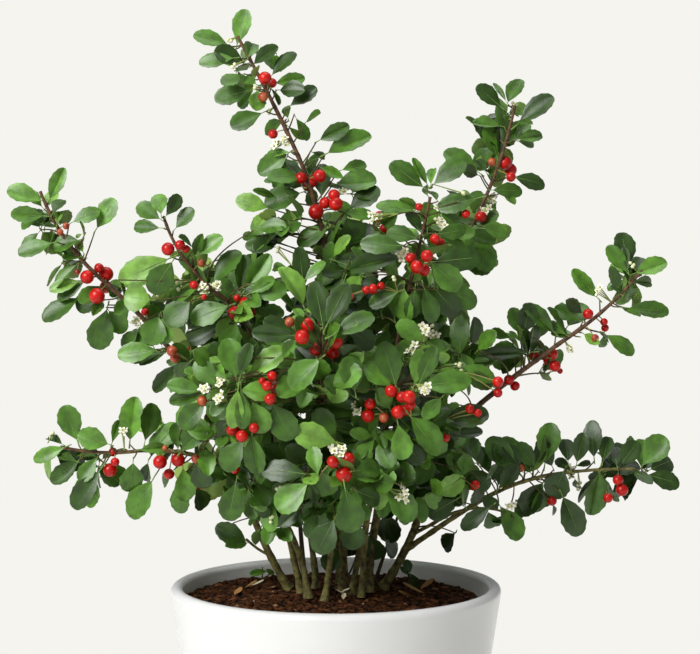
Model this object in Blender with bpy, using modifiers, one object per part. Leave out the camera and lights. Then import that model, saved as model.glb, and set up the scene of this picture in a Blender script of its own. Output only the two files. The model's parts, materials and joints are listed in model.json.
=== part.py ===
# Potted yaupon holly: a many-stemmed evergreen shrub in a white glazed pot.
# Metres, +Z up. The origin is the middle of the pot's flat underside, the front faces -Y.
import math

import bmesh
import bpy
from mathutils import Vector, noise
from mathutils.bvhtree import BVHTree

MODEL_NAME = "potted_yaupon_holly"
MM = 0.001

# Pot: a tapered planter with a full round lip and a flat underside
POT_HEIGHT = 190 * MM
RIM_RADIUS = 105 * MM
POT_WALL = 8.2 * MM
POT_FLOOR = 10 * MM
POT_TAPER = math.radians(8.5)
POT_FOOT_ROUND = 3 * MM
LIP_ARC_STEPS = 4
TURN_STEPS = 32

# Soil: a plug that fills the pot, with a low flat mound under the stems
GAP = 0.3 * MM
SOIL_EDGE_DROP = 11 * MM
SOIL_MOUND_DROP = 6 * MM
SOIL_MOUND_RADIUS = 50 * MM

# Limbs
TUBE_SIDES_RESOLUTION = 2
LIMB_STEP = 12 * MM
FLARE_HEIGHT = 8 * MM
FLARE_FACTOR = 1.55
SEAT_GAP = 0.4 * MM
TRIM_STEP = 0.4 * MM
RING_POINTS = 12
PATH_STEP = 2 * MM
FORK_SCAN_SHARE = 0.004
FORK_SCAN_STEPS = 8

# Foliage
MASS_SEGMENTS = 12
MASS_RINGS = 8
MASS_GAP = 0.5 * MM
MASS_UNEVEN = 0.26
MASS_LUMP_SIZE = 26 * MM
MASS_SEED_SHIFT = Vector((3.7, 1.9, 5.3))
SLEEVE_CORES = (0.15, 0.3, 0.5, 0.7, 0.85)
CLUMP_CORES = (0.5,)

SOIL_TOP = POT_HEIGHT - SOIL_MOUND_DROP
MERGE_DISTANCE = 0.05 * MM
OFF_AXIS = Vector((0.13, 1, 0.07))

# A limb leaves the soil at its foot (x, y), or another limb at a share of its length.
# Its lean from the upright and its compass heading (0 is +X, 90 is +Y) are given at even
# stations from foot to tip, in degrees, so that the limb curves smoothly between them.
LIMBS = {
    "stem_far_left": {
        "foot": (-31, 17), "length": 315, "radii": (2.4, 1.0),
        "leans": (34, 17, 35, 49, 16), "headings": (217, 189, 192),
    },
    "stem_left": {
        "foot": (-22, 3), "length": 277, "radii": (2.2, 0.9),
        "leans": (16, 15, 7, 53, 11), "headings": (219, 233, 165),
    },
    "stem_low_left": {
        "foot": (-17, -18), "length": 219, "radii": (2.1, 0.9),
        "leans": (7, 29, 68, 95, 71), "headings": (196, 191, 186),
    },
    "stem_rear_left": {
        "foot": (-13, 17), "length": 265, "radii": (2.0, 0.9),
        "leans": (4, 22, 50, 48), "headings": (150, 122, 130),
    },
    "stem_front": {
        "foot": (-7, -28), "length": 183, "radii": (2.0, 1.0),
        "leans": (10, 7, 28, 38, 43), "headings": (340, 254, 273),
    },
    "stem_leader": {
        "foot": (5, 11), "length": 375, "radii": (2.6, 1.0),
        "leans": (2, 8, 2, 24, 32), "headings": (253, 220, 152),
    },
    "stem_centre_right": {
        "foot": (10, -3), "length": 271, "radii": (2.0, 0.9),
        "leans": (16, 20, 8, 15, 11), "headings": (306, 315, 358),
    },
    "stem_front_right": {
        "foot": (16, -14), "length": 172, "radii": (1.8, 0.9),
        "leans": (8, 20, 42, 48), "headings": (290, 286, 280),
    },
    "stem_right_upper": {
        "foot": (21, 3), "length": 334, "radii": (2.3, 0.9),
        "leans": (1, 22, 13, 26, 10), "headings": (23, 2, -20),
    },
    "stem_rear_right": {
        "foot": (18, 23), "length": 265, "radii": (2.0, 0.9),
        "leans": (10, 22, 42, 38), "headings": (40, 60, 50),
    },
    "stem_far_right": {
        "foot": (30, 16), "length": 280, "radii": (2.7, 0.9),
        "leans": (34, 14, 50, 55, 36), "headings": (352, 352, 359),
    },
    "stem_rear": {
        "foot": (2, 30), "length": 205, "radii": (2.1, 0.9),
        "leans": (10, 28, 48, 44), "headings": (100, 92, 88),
    },
    "bough_low_right": {
        "parent": "stem_far_right", "share": 0.10, "length": 172, "radii": (1.9, 0.8),
        "leans": (53, 57, 82, 93), "headings": (338, 355, 361),
    },
    "bough_under_right": {
        "parent": "stem_far_right", "share": 0.14, "length": 82, "radii": (1.3, 0.7),
        "leans": (64, 60, 84, 112), "headings": (318, 328, 335),
    },
    "bough_low_twig": {
        "parent": "stem_far_left", "share": 0.085, "length": 30, "radii": (1.0, 0.7),
        "leans": (66, 48, 40), "headings": (205, 195, 190),
    },
    "bough_rear_leader": {
        "parent": "stem_rear", "share": 0.12, "length": 222, "radii": (1.7, 0.9),
        "leans": (38, 12, 4, 16), "headings": (60, 78, 100),
    },
}

# Sleeves of leaves round the outer part of a limb: from one share of its length to another
# (past 1 is beyond its tip), with the sleeve's radius at the middle.
SLEEVES = {
    "foliage_far_left_inner": ("stem_far_left", 0.50, 0.84, 26),
    "foliage_far_left_tip": ("stem_far_left", 0.72, 1.00, 29),
    "foliage_left_arm": ("stem_left", 0.64, 1.01, 26),
    "foliage_low_left_inner": ("stem_low_left", 0.51, 0.86, 28),
    "foliage_low_left_tip": ("stem_low_left", 0.70, 1.07, 31),
    "foliage_leader_inner": ("stem_leader", 0.56, 0.87, 34),
    "foliage_leader_tip": ("stem_leader", 0.76, 1.01, 30),
    "foliage_centre_right_tip": ("stem_centre_right", 0.68, 1.01, 28),
    "foliage_right_upper": ("stem_right_upper", 0.61, 1.03, 32),
    "foliage_far_right_inner": ("stem_far_right", 0.50, 0.82, 26),
    "foliage_far_right_tip": ("stem_far_right", 0.71, 1.02, 29),
    "foliage_low_right_inner": ("bough_low_right", 0.36, 0.82, 27),
    "foliage_low_right_tip": ("bough_low_right", 0.66, 1.11, 31),
    "foliage_under_right": ("bough_under_right", 0.66, 1.16, 14),
    "foliage_low_twig": ("bough_low_twig", 0.70, 1.85, 8),
    "foliage_rear_leader": ("bough_rear_leader", 0.58, 1.08, 30),
    "foliage_rear_left_arm": ("stem_rear_left", 0.60, 1.08, 32),
    "foliage_rear_right_arm": ("stem_rear_right", 0.62, 1.08, 30),
    "foliage_rear_arm": ("stem_rear", 0.62, 1.12, 29),
}

# Clumps of leaves in the body of the crown: the middle (x, y, height over the soil) and the
# half sizes along x, y and z.
CLUMPS = {
    "foliage_heart": ((2, -2, 118), (38, 36, 50)),
    "foliage_front_left": ((-58, -76, 132), (38, 32, 36)),
    "foliage_front": ((-6, -86, 162), (32, 32, 36)),
    "foliage_front_right": ((46, -72, 134), (38, 32, 36)),
    "foliage_front_low": ((4, -78, 90), (40, 34, 34)),
    "foliage_front_low_left": ((-56, -50, 70), (36, 34, 28)),
    "foliage_front_low_right": ((66, -44, 78), (36, 32, 30)),
    "foliage_left": ((-90, 2, 120), (33, 36, 34)),
    "foliage_left_high": ((-42, -18, 190), (36, 36, 36)),
    "foliage_left_upper": ((-46, -10, 232), (25, 27, 27)),
    "foliage_centre_high": ((16, -12, 208), (32, 34, 36)),
    "foliage_right_high": ((66, 8, 190), (34, 36, 36)),
    "foliage_right": ((80, -16, 134), (34, 36, 32)),
    "foliage_rear_left": ((-62, 56, 142), (40, 38, 42)),
    "foliage_rear": ((-2, 82, 112), (40, 36, 40)),
    "foliage_rear_right": ((60, 58, 134), (38, 38, 40)),
    "foliage_rear_high": ((6, 46, 190), (40, 34, 36)),
    "foliage_rear_low_left": ((-58, 58, 76), (42, 38, 30)),
    "foliage_rear_low_right": ((56, 62, 74), (42, 36, 30)),
}

# Colours (linear), roughness and metallic value by kind of piece
LOOKS = {
    "pot": ((0.86, 0.86, 0.85), 0.25, 0.0),
    "soil": ((0.028, 0.016, 0.008), 0.95, 0.0),
    "stem": ((0.10, 0.062, 0.030), 0.75, 0.0),
    "bough": ((0.12, 0.060, 0.032), 0.72, 0.0),
    "foliage": ((0.070, 0.145, 0.035), 0.50, 0.0),
}


def clear_scene():
    for old in list(bpy.data.objects):
        bpy.data.objects.remove(old, do_unlink=True)


def new_collection(name):
    collection = bpy.data.collections.new(name)
    bpy.context.scene.collection.children.link(collection)
    return collection


def make_material(name, kind):
    color, roughness, metallic = LOOKS[kind]
    material = bpy.data.materials.new(name + "_finish")
    material.use_nodes = True
    shader = material.node_tree.nodes["Principled BSDF"]
    shader.inputs["Base Color"].default_value = (*color, 1.0)
    shader.inputs["Roughness"].default_value = roughness
    shader.inputs["Metallic"].default_value = metallic
    return material


def add_object(name, data, kind, collection):
    piece = bpy.data.objects.new(name, data)
    piece.data.materials.append(make_material(name, kind))
    collection.objects.link(piece)
    return piece


def at_stations(values, t):
    """Value at t (0 to 1) of numbers given at even stations."""
    place = min(max(t, 0.0), 1.0) * (len(values) - 1)
    low = min(int(place), len(values) - 2)
    return values[low] + (values[low + 1] - values[low]) * (place - low)


# Pot and soil

def outer_radius(z):
    lip_centre = POT_HEIGHT - POT_WALL / 2
    return RIM_RADIUS - max(lip_centre - z, 0.0) * math.tan(POT_TAPER)


def inner_radius(z):
    return outer_radius(z) - POT_WALL / math.cos(POT_TAPER)


def pot_profile():
    lip_radius = POT_WALL / 2
    lip_centre = Vector((RIM_RADIUS - lip_radius, 0, POT_HEIGHT - lip_radius))
    points = [Vector((0, 0, POT_FLOOR)), Vector((inner_radius(POT_FLOOR), 0, POT_FLOOR))]
    for step in range(LIP_ARC_STEPS * 2 + 1):
        angle = math.pi - math.pi * step / (LIP_ARC_STEPS * 2)
        points.append(lip_centre + lip_radius * Vector((math.cos(angle), 0, math.sin(angle))))
    points.append(Vector((outer_radius(POT_FOOT_ROUND), 0, POT_FOOT_ROUND)))
    points.append(Vector((outer_radius(0) - POT_FOOT_ROUND, 0, 0)))
    points.append(Vector((0, 0, 0)))
    return points


def soil_profile():
    edge_z = POT_HEIGHT - SOIL_EDGE_DROP
    floor_z = POT_FLOOR + GAP
    clearance = GAP / math.cos(POT_TAPER)
    return [
        Vector((0, 0, SOIL_TOP)),
        Vector((SOIL_MOUND_RADIUS, 0, SOIL_TOP)),
        Vector((inner_radius(edge_z) - clearance, 0, edge_z)),
        Vector((inner_radius(floor_z) - clearance, 0, floor_z)),
        Vector((0, 0, floor_z)),
    ]


def turned_object(name, profile, kind, collection):
    mesh = bpy.data.meshes.new(name)
    edges = [(i, i + 1) for i in range(len(profile) - 1)]
    mesh.from_pydata([tuple(p) for p in profile], edges, [])
    piece = add_object(name, mesh, kind, collection)
    screw = piece.modifiers.new("turn", "SCREW")
    screw.axis = "Z"
    screw.angle = math.tau
    screw.steps = TURN_STEPS
    screw.render_steps = TURN_STEPS
    screw.use_merge_vertices = True
    screw.merge_threshold = MERGE_DISTANCE
    screw.use_smooth_shade = True
    return piece


# Limb centre lines

def limb_direction(limb, share):
    lean = math.radians(at_stations(limb["leans"], share))
    heading = math.radians(at_stations(limb["headings"], share))
    side = math.sin(lean)
    return Vector((side * math.cos(heading), side * math.sin(heading), math.cos(lean)))


def limb_foot(limb):
    if "parent" in limb:
        return limb_point(LIMBS[limb["parent"]], limb["share"])
    return Vector((limb["foot"][0] * MM, limb["foot"][1] * MM, SOIL_TOP + GAP))


def limb_point(limb, share):
    """Point on a limb's centre line; past its tip the line runs straight on."""
    steps = max(2, round(share * limb["length"] * MM / PATH_STEP))
    stride = share * limb["length"] * MM / steps
    point = limb_foot(limb)
    for step in range(steps):
        point = point + limb_direction(limb, share * (step + 0.5) / steps) * stride
    return point


# Foliage

def perpendicular_pair(axis):
    side = axis.cross(OFF_AXIS).normalized()
    return side, axis.cross(side).normalized()


def sleeve_spine(limb_name, low, high, radius):
    limb = LIMBS[limb_name]

    def station(t):
        share = low + (high - low) * t
        side, across = perpendicular_pair(limb_direction(limb, share))
        return limb_point(limb, share), side * radius * MM, across * radius * MM
    return station


def clump_spine(middle, half_sizes):
    centre = Vector(middle) * MM + Vector((0, 0, SOIL_TOP))
    half = Vector(half_sizes) * MM

    def station(t):
        rise = Vector((0, 0, half.z * (2 * t - 1)))
        return centre + rise, Vector((half.x, 0, 0)), Vector((0, half.y, 0))
    return station


def bulge(t):
    return math.sqrt(max(1 - (2 * t - 1) ** 2, 0.0))


def core_spheres(spine, stations):
    """Spheres along a mass's spine, which stand for the room that it claims."""
    spheres = []
    for t in stations:
        centre, side, across = spine(t)
        spheres.append((centre, bulge(t) * (side.length + across.length) / 2))
    return spheres


def crowding_border(spheres, rival_spheres):
    """Plane between two masses, where their most crowded pair of spheres would share out."""
    best = None
    for centre, radius in spheres:
        for rival_centre, rival_radius in rival_spheres:
            apart = (rival_centre - centre).length
            crowding = radius + rival_radius - apart
            if best is None or crowding > best[0]:
                share = (apart + (radius ** 2 - rival_radius ** 2) / apart) / 2
                normal = (rival_centre - centre) / apart
                best = (crowding, normal, centre.dot(normal) + share)
    return best[1], best[2]


def sleeve_border(name, rival):
    """Plane square to the limb where one sleeve hands over to the next, if they share it."""
    limb_name, low, high, _ = SLEEVES[name]
    rival_limb, rival_low, rival_high, _ = SLEEVES[rival]
    if limb_name != rival_limb:
        return None
    share = (high + rival_low) / 2 if low < rival_low else (low + rival_high) / 2
    limb = LIMBS[limb_name]
    normal = limb_direction(limb, share) * (1 if low < rival_low else -1)
    return normal, limb_point(limb, share).dot(normal)


def draw_in(point, middle, borders):
    """Moves a point straight towards the mass's middle until it is on its side of them all."""
    offset = point - middle
    keep = 1.0
    for normal, level in borders:
        reach = offset.dot(normal)
        room = level - MASS_GAP / 2 - middle.dot(normal)
        if reach > room:
            keep = min(keep, room / reach)
    return middle + offset * keep


def mass_mesh(name, spine, borders, seed):
    form = bmesh.new()
    bmesh.ops.create_uvsphere(form, u_segments=MASS_SEGMENTS, v_segments=MASS_RINGS, radius=1)
    middle = spine(0.5)[0]
    for vert in form.verts:
        x, y, z = vert.co
        station, side, across = spine((z + 1) / 2)
        point = station + side * x + across * y
        uneven = noise.noise(point / MASS_LUMP_SIZE + MASS_SEED_SHIFT * seed)
        point = middle + (point - middle) * (1 + MASS_UNEVEN * uneven)
        vert.co = draw_in(point, middle, borders)
    bmesh.ops.triangulate(form, faces=form.faces)
    bmesh.ops.recalc_face_normals(form, faces=form.faces)
    mesh = bpy.data.meshes.new(name)
    form.to_mesh(mesh)
    tree = BVHTree.FromBMesh(form)
    form.free()
    return mesh, tree


def make_foliage(collection):
    spines = {name: sleeve_spine(*spec) for name, spec in SLEEVES.items()}
    spines.update({name: clump_spine(*spec) for name, spec in CLUMPS.items()})
    cores = {}
    for name, spine in spines.items():
        cores[name] = core_spheres(spine, SLEEVE_CORES if name in SLEEVES else CLUMP_CORES)
    trees = []
    for seed, (name, spine) in enumerate(spines.items()):
        borders = []
        for rival in spines:
            if rival == name:
                continue
            border = None
            if name in SLEEVES and rival in SLEEVES:
                border = sleeve_border(name, rival)
            borders.append(border or crowding_border(cores[name], cores[rival]))
        mesh, tree = mass_mesh(name, spine, borders, seed)
        add_object(name, mesh, "foliage", collection)
        trees.append(tree)
    return trees


# Stems and boughs

def limb_radius(limb, share):
    thick, thin = limb["radii"]
    return (thick + (thin - thick) * share) * MM


def ring_points(limb, share):
    """The middle and the rim of a limb's cross section."""
    centre = limb_point(limb, share)
    side, across = perpendicular_pair(limb_direction(limb, share))
    radius = limb_radius(limb, share)
    points = [centre]
    for step in range(RING_POINTS):
        angle = math.tau * step / RING_POINTS
        points.append(centre + radius * (side * math.cos(angle) + across * math.sin(angle)))
    return points


def is_clear_of_foliage(limb, share, trees):
    return all(tree.find_nearest(point)[3] > SEAT_GAP
               for point in ring_points(limb, share) for tree in trees)


def is_clear_of_parent(limb, share):
    parent = LIMBS[limb["parent"]]
    bark = limb_radius(parent, limb["share"]) + SEAT_GAP
    scan = range(-FORK_SCAN_STEPS, FORK_SCAN_STEPS + 1)
    stations = [limb_point(parent, limb["share"] + step * FORK_SCAN_SHARE) for step in scan]
    return all((point - station).length > bark
               for point in ring_points(limb, share) for station in stations)


def trim_start(limb):
    share = 0.0
    while not is_clear_of_parent(limb, share):
        share += TRIM_STEP / (limb["length"] * MM)
    return share


def trim_end(limb, start, foliage_trees):
    share = start
    stride = TRIM_STEP / (limb["length"] * MM)
    while share + stride < 1 and is_clear_of_foliage(limb, share + stride, foliage_trees):
        share += stride
    return share


def limb_stations(limb, start, end):
    """Centre points and radii of the tube, with a flat-cut flare where it meets the soil."""
    span = (end - start) * limb["length"] * MM
    count = max(3, round(span / LIMB_STEP) + 1)
    shares = [start + (end - start) * i / (count - 1) for i in range(count)]
    stations = [(limb_point(limb, share), limb_radius(limb, share)) for share in shares]
    if "parent" in limb:
        return stations
    foot, radius = stations[0]
    flare_top = limb_point(limb, FLARE_HEIGHT / (limb["length"] * MM))
    upright = foot + Vector((0, 0, FLARE_HEIGHT / 4))
    swell = radius * (1 + FLARE_FACTOR) / 2
    base = [(foot, radius * FLARE_FACTOR), (upright, swell), (flare_top, radius)]
    return base + stations[2:]


def tube_object(name, stations, kind, collection):
    curve = bpy.data.curves.new(name, "CURVE")
    curve.dimensions = "3D"
    curve.bevel_depth = 1.0
    curve.bevel_resolution = TUBE_SIDES_RESOLUTION
    curve.use_fill_caps = True
    spline = curve.splines.new("POLY")
    spline.points.add(len(stations) - 1)
    for point, (place, radius) in zip(spline.points, stations):
        point.co = (*place, 1.0)
        point.radius = radius
    return add_object(name, curve, kind, collection)


def make_limbs(foliage_trees, collection):
    for name, limb in LIMBS.items():
        start = trim_start(limb) if "parent" in limb else 0.0
        end = trim_end(limb, start, foliage_trees)
        kind = name.split("_")[0]
        tube_object(name, limb_stations(limb, start, end), kind, collection)


def main():
    clear_scene()
    plant = new_collection(MODEL_NAME)
    turned_object("pot", pot_profile(), "pot", plant)
    turned_object("soil", soil_profile(), "soil", plant)
    foliage_trees = make_foliage(plant)
    make_limbs(foliage_trees, plant)


main()
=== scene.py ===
import json
import math
import random

import bpy
import numpy as np
from mathutils import Matrix, Vector, noise
from mathutils.bvhtree import BVHTree

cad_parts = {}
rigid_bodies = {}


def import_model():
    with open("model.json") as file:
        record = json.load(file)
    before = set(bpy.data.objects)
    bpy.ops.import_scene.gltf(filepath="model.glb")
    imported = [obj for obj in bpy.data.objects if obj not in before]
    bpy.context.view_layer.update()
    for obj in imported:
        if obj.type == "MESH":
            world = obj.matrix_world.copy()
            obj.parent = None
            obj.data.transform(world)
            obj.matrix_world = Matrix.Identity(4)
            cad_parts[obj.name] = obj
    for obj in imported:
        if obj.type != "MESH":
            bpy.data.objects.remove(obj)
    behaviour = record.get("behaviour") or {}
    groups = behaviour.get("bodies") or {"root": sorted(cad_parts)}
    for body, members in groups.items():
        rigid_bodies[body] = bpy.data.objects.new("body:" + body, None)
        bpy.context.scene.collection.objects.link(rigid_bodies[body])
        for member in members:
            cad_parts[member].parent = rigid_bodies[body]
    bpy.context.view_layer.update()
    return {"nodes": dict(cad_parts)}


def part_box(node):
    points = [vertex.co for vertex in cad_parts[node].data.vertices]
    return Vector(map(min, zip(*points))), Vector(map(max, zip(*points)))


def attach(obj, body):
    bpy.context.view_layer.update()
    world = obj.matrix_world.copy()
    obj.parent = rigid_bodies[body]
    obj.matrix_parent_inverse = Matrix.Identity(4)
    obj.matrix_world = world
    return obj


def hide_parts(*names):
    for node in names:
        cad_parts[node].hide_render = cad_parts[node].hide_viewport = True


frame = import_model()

# A many-stemmed holly in a white glazed pot. Metres, +Z up, the front faces -Y.
mm = 0.001
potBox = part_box("pot")
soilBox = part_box("soil")
soilTop = soilBox[1].z


def linearColor(hexText):
    parts = [int(hexText[i:i + 2], 16) / 255 for i in (1, 3, 5)]
    return tuple(p / 12.92 if p <= 0.04045 else ((p + 0.055) / 1.055) ** 2.4 for p in parts) + (1.0,)


def addNode(material, kind, settings=None, links=None):
    node = material.node_tree.nodes.new(kind)
    for name, value in (settings or {}).items():
        if isinstance(name, int) or name in node.inputs:
            node.inputs[name].default_value = value
        else:
            setattr(node, name, value)
    for name, source in (links or {}).items():
        material.node_tree.links.new(source, node.inputs[name])
    return node


def newMaterial(name, colorHex, **sockets):
    material = bpy.data.materials.new(name)
    material.use_nodes = True
    shader = material.node_tree.nodes["Principled BSDF"]
    shader.inputs["Base Color"].default_value = linearColor(colorHex)
    for socket, value in sockets.items():
        shader.inputs[socket.replace("_", " ")].default_value = value
    return material


def mottle(material, sizeMm, darkHex, lightHex, detail=3.0, low=0.35, high=0.65):
    # two near colours in soft patches of a real size
    tree = material.node_tree
    place = addNode(material, "ShaderNodeTexCoord")
    patches = addNode(material, "ShaderNodeTexNoise",
                      {"Scale": 1 / (sizeMm * mm), "Detail": detail}, {"Vector": place.outputs["Object"]})
    ramp = addNode(material, "ShaderNodeValToRGB", links={"Fac": patches.outputs["Fac"]})
    ramp.color_ramp.elements[0].position = low
    ramp.color_ramp.elements[0].color = linearColor(darkHex)
    ramp.color_ramp.elements[1].position = high
    ramp.color_ramp.elements[1].color = linearColor(lightHex)
    tree.links.new(ramp.outputs["Color"], tree.nodes["Principled BSDF"].inputs["Base Color"])
    return patches


def addBump(material, sizeMm, heightMm, detail=2.0, stretch=None):
    tree = material.node_tree
    place = addNode(material, "ShaderNodeTexCoord")
    source = place.outputs["Object"]
    if stretch:
        source = addNode(material, "ShaderNodeMapping", {"Scale": stretch}, {"Vector": source}).outputs[0]
    grain = addNode(material, "ShaderNodeTexNoise",
                    {"Scale": 1 / (sizeMm * mm), "Detail": detail}, {"Vector": source})
    bump = addNode(material, "ShaderNodeBump", {"Distance": heightMm * mm}, {"Height": grain.outputs["Fac"]})
    tree.links.new(bump.outputs["Normal"], tree.nodes["Principled BSDF"].inputs["Normal"])


def deselectAll():
    bpy.ops.object.select_all(action="DESELECT")


def finishPiece(piece, name, slot, *nodes):
    piece.name = name
    piece.data.name = name
    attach(piece, "root")
    if nodes:
        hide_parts(*nodes)


# Meshes joined from arrays, for what is there by the hundred

class Heap:
    # gathers many small shapes, then makes them one mesh
    def __init__(self):
        self.points, self.faces, self.slots, self.count = [], [], [], 0

    def add(self, points, faces, slots):
        self.points.append(points)
        self.faces.append(faces + self.count)
        self.slots.append(slots)
        self.count += len(points)

    def piece(self, name, materials, smoothAngle=50):
        points = np.concatenate(self.points)
        quads = np.concatenate(self.faces)
        slots = np.concatenate(self.slots)
        # a triangle is kept as a quad whose last two corners are one
        lists = [q[:3] if q[3] == q[2] else q for q in quads.tolist()]
        mesh = bpy.data.meshes.new(name)
        mesh.from_pydata(points.tolist(), [], lists)
        for material in materials:
            mesh.materials.append(material)
        mesh.polygons.foreach_set("material_index", slots.astype(np.int32))
        mesh.shade_smooth()
        mesh.set_sharp_from_angle(angle=math.radians(smoothAngle))
        mesh.update()
        piece = bpy.data.objects.new(name, mesh)
        bpy.context.scene.collection.objects.link(piece)
        return piece


def sideOf(direction):
    return direction.cross(Vector((0.13, 1, 0.07))).normalized()


def turned(along, angle):
    # the direction square to another, at an angle round it
    side = sideOf(along)
    return side * math.cos(angle) + along.cross(side) * math.sin(angle)


def alongAt(path, i):
    return (path[min(i + 1, len(path) - 1)] - path[max(i - 1, 0)]).normalized()


def takeArrays(shape):
    # a modelled shape's corners and faces, to be copied by the hundred
    points = np.array([tuple(v.co) for v in shape.data.vertices])
    faces = np.array([tuple(p.vertices) if len(p.vertices) == 4 else (*p.vertices, p.vertices[2])
                      for p in shape.data.polygons])
    bpy.data.objects.remove(shape)
    return points, faces


def sweepTube(path, radii, sides, relief=0.0, seed=0):
    # a closed tube along a path, its bark uneven by a share of its radius
    count = len(path)
    points, faces = [], []
    side = sideOf((path[1] - path[0]).normalized())
    for i, (centre, radius) in enumerate(zip(path, radii)):
        along = alongAt(path, i)
        side = (side - along * side.dot(along)).normalized()
        across = along.cross(side)
        for k in range(sides):
            angle = math.tau * k / sides
            outward = side * math.cos(angle) + across * math.sin(angle)
            uneven = 1.0
            if relief:
                spot = Vector((math.cos(angle) * 1.7, math.sin(angle) * 1.7, i * 0.23 + seed * 9.1))
                uneven += relief * noise.noise(spot) + relief * 0.7 * noise.noise(centre * 700)
            points.append(centre + outward * radius * uneven)
    for i in range(count - 1):
        for k in range(sides):
            nextK = (k + 1) % sides
            faces.append((i * sides + k, i * sides + nextK, (i + 1) * sides + nextK, (i + 1) * sides + k))
    points += [path[0], path[-1]]
    low, high, last = len(points) - 2, len(points) - 1, (count - 1) * sides
    for k in range(sides):
        nextK = (k + 1) % sides
        faces.append((nextK, k, low, low))
        faces.append((last + k, last + nextK, high, high))
    return np.array([tuple(p) for p in points]), np.array(faces)


# Camera: where the photo was taken from, worked out from the pot's rim

view = {
    "place": (8.9 * mm, -1600 * mm, 478 * mm),
    "pitchDown": 4.44,
    "focalPixels": 2542,
    "width": 700,
    "height": 654,
    "sensor": 36,
}


def makeCamera():
    data = bpy.data.cameras.new("camera")
    data.sensor_width = view["sensor"]
    data.lens = view["focalPixels"] / view["width"] * view["sensor"]
    camera = bpy.data.objects.new("camera", data)
    camera.location = view["place"]
    camera.rotation_euler = (math.radians(90 - view["pitchDown"]), 0, 0)
    bpy.context.scene.collection.objects.link(camera)
    bpy.context.scene.camera = camera


def toPixel(point):
    pitch = math.radians(view["pitchDown"])
    offset = Vector(point) - Vector(view["place"])
    depth = offset.y * math.cos(pitch) - offset.z * math.sin(pitch)
    rise = offset.y * math.sin(pitch) + offset.z * math.cos(pitch)
    x = view["width"] / 2 + view["focalPixels"] * offset.x / depth
    return x, view["height"] / 2 - view["focalPixels"] * rise / depth


def atPixel(x, y, depthY):
    # the point seen at a pixel, on the upright plane at that depth
    pitch = math.radians(view["pitchDown"])
    right = (x - view["width"] / 2) / view["focalPixels"]
    up = (view["height"] / 2 - y) / view["focalPixels"]
    ray = Vector((right, math.cos(pitch) + up * math.sin(pitch), up * math.cos(pitch) - math.sin(pitch)))
    place = Vector(view["place"])
    return place + ray * ((depthY - place.y) / ray.y)


makeCamera()


# Studio: a pale floor that runs into a pale surround, a soft key light from the left front

studio = {
    "paper": "#f5f4ef",
    "floorRadius": 4.0,
    "nearRadius": 0.42,  # the floor's own shading fades into the paper from here
    "farRadius": 0.62,
    "floorLevel": -0.6 * mm,
    "aim": (0, 0, 0.3),
    "lamps": {
        "keyLight": {"place": (-1.5, -1.6, 1.75), "size": 1.3, "power": 82},
        "topLight": {"place": (0.1, 0.2, 2.3), "size": 1.4, "power": 18},
    },
    "skyColor": (0.96, 0.98, 1.0, 1),
    "skyStrength": 0.27,
}


def makeStudio():
    bpy.ops.mesh.primitive_uv_sphere_add(segments=64, ring_count=32, radius=studio["floorRadius"])
    surround = bpy.context.object
    surround.name = "surround"
    glow = newMaterial("backdrop_paper", "#000000", Roughness=1.0, Specular_IOR_Level=0.0)
    shader = glow.node_tree.nodes["Principled BSDF"]
    shader.inputs["Emission Color"].default_value = linearColor(studio["paper"])
    shader.inputs["Emission Strength"].default_value = 1.0
    surround.data.materials.append(glow)
    surround.visible_diffuse = False
    surround.visible_glossy = False
    surround.visible_shadow = False
    surround.visible_transmission = False
    bpy.ops.mesh.primitive_circle_add(vertices=128, radius=studio["floorRadius"] * 0.98, fill_type="NGON")
    floor = bpy.context.object
    floor.name = "floor"
    floor.location.z = studio["floorLevel"]
    paper = newMaterial("floor_paper", "#e9e8e4", Roughness=0.9, Specular_IOR_Level=0.1)
    tree = paper.node_tree
    place = addNode(paper, "ShaderNodeTexCoord")
    reach = addNode(paper, "ShaderNodeVectorMath", {"operation": "LENGTH"}, {0: place.outputs["Object"]})
    fade = addNode(paper, "ShaderNodeMapRange",
                   {"From Min": studio["nearRadius"], "From Max": studio["farRadius"],
                    "interpolation_type": "SMOOTHSTEP"}, {"Value": reach.outputs["Value"]})
    far = addNode(paper, "ShaderNodeEmission", {"Color": linearColor(studio["paper"])})
    near = tree.nodes["Principled BSDF"]
    blend = addNode(paper, "ShaderNodeMixShader", links={
        0: fade.outputs["Result"], 1: near.outputs["BSDF"], 2: far.outputs["Emission"]})
    tree.links.new(blend.outputs["Shader"], tree.nodes["Material Output"].inputs["Surface"])
    floor.data.materials.append(paper)
    for name, lamp in studio["lamps"].items():
        light = bpy.data.lights.new(name, "AREA")
        light.size = lamp["size"]
        light.energy = lamp["power"]
        holder = bpy.data.objects.new(name, light)
        holder.location = lamp["place"]
        aim = Vector(studio["aim"]) - Vector(lamp["place"])
        holder.rotation_euler = aim.to_track_quat("-Z", "Y").to_euler()
        bpy.context.scene.collection.objects.link(holder)
    world = bpy.data.worlds.new("studio")
    world.use_nodes = True
    sky = world.node_tree.nodes["Background"]
    sky.inputs["Color"].default_value = studio["skyColor"]
    sky.inputs["Strength"].default_value = studio["skyStrength"]
    bpy.context.scene.world = world
    bpy.context.scene.view_settings.view_transform = "Standard"


deselectAll()
makeStudio()
print("studio ready")


# Pot: glazed stoneware, turned, with a full round lip

pot = {"wall": 8.2 * mm, "taper": math.radians(8.5), "floor": 10 * mm, "foot": 3 * mm, "sides": 160}
rimRadius = potBox[1].x
potHeight = potBox[1].z


def potOuter(z):
    return rimRadius - max(potHeight - pot["wall"] / 2 - z, 0) * math.tan(pot["taper"])


def potInner(z):
    return potOuter(z) - pot["wall"] / math.cos(pot["taper"])


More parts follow.
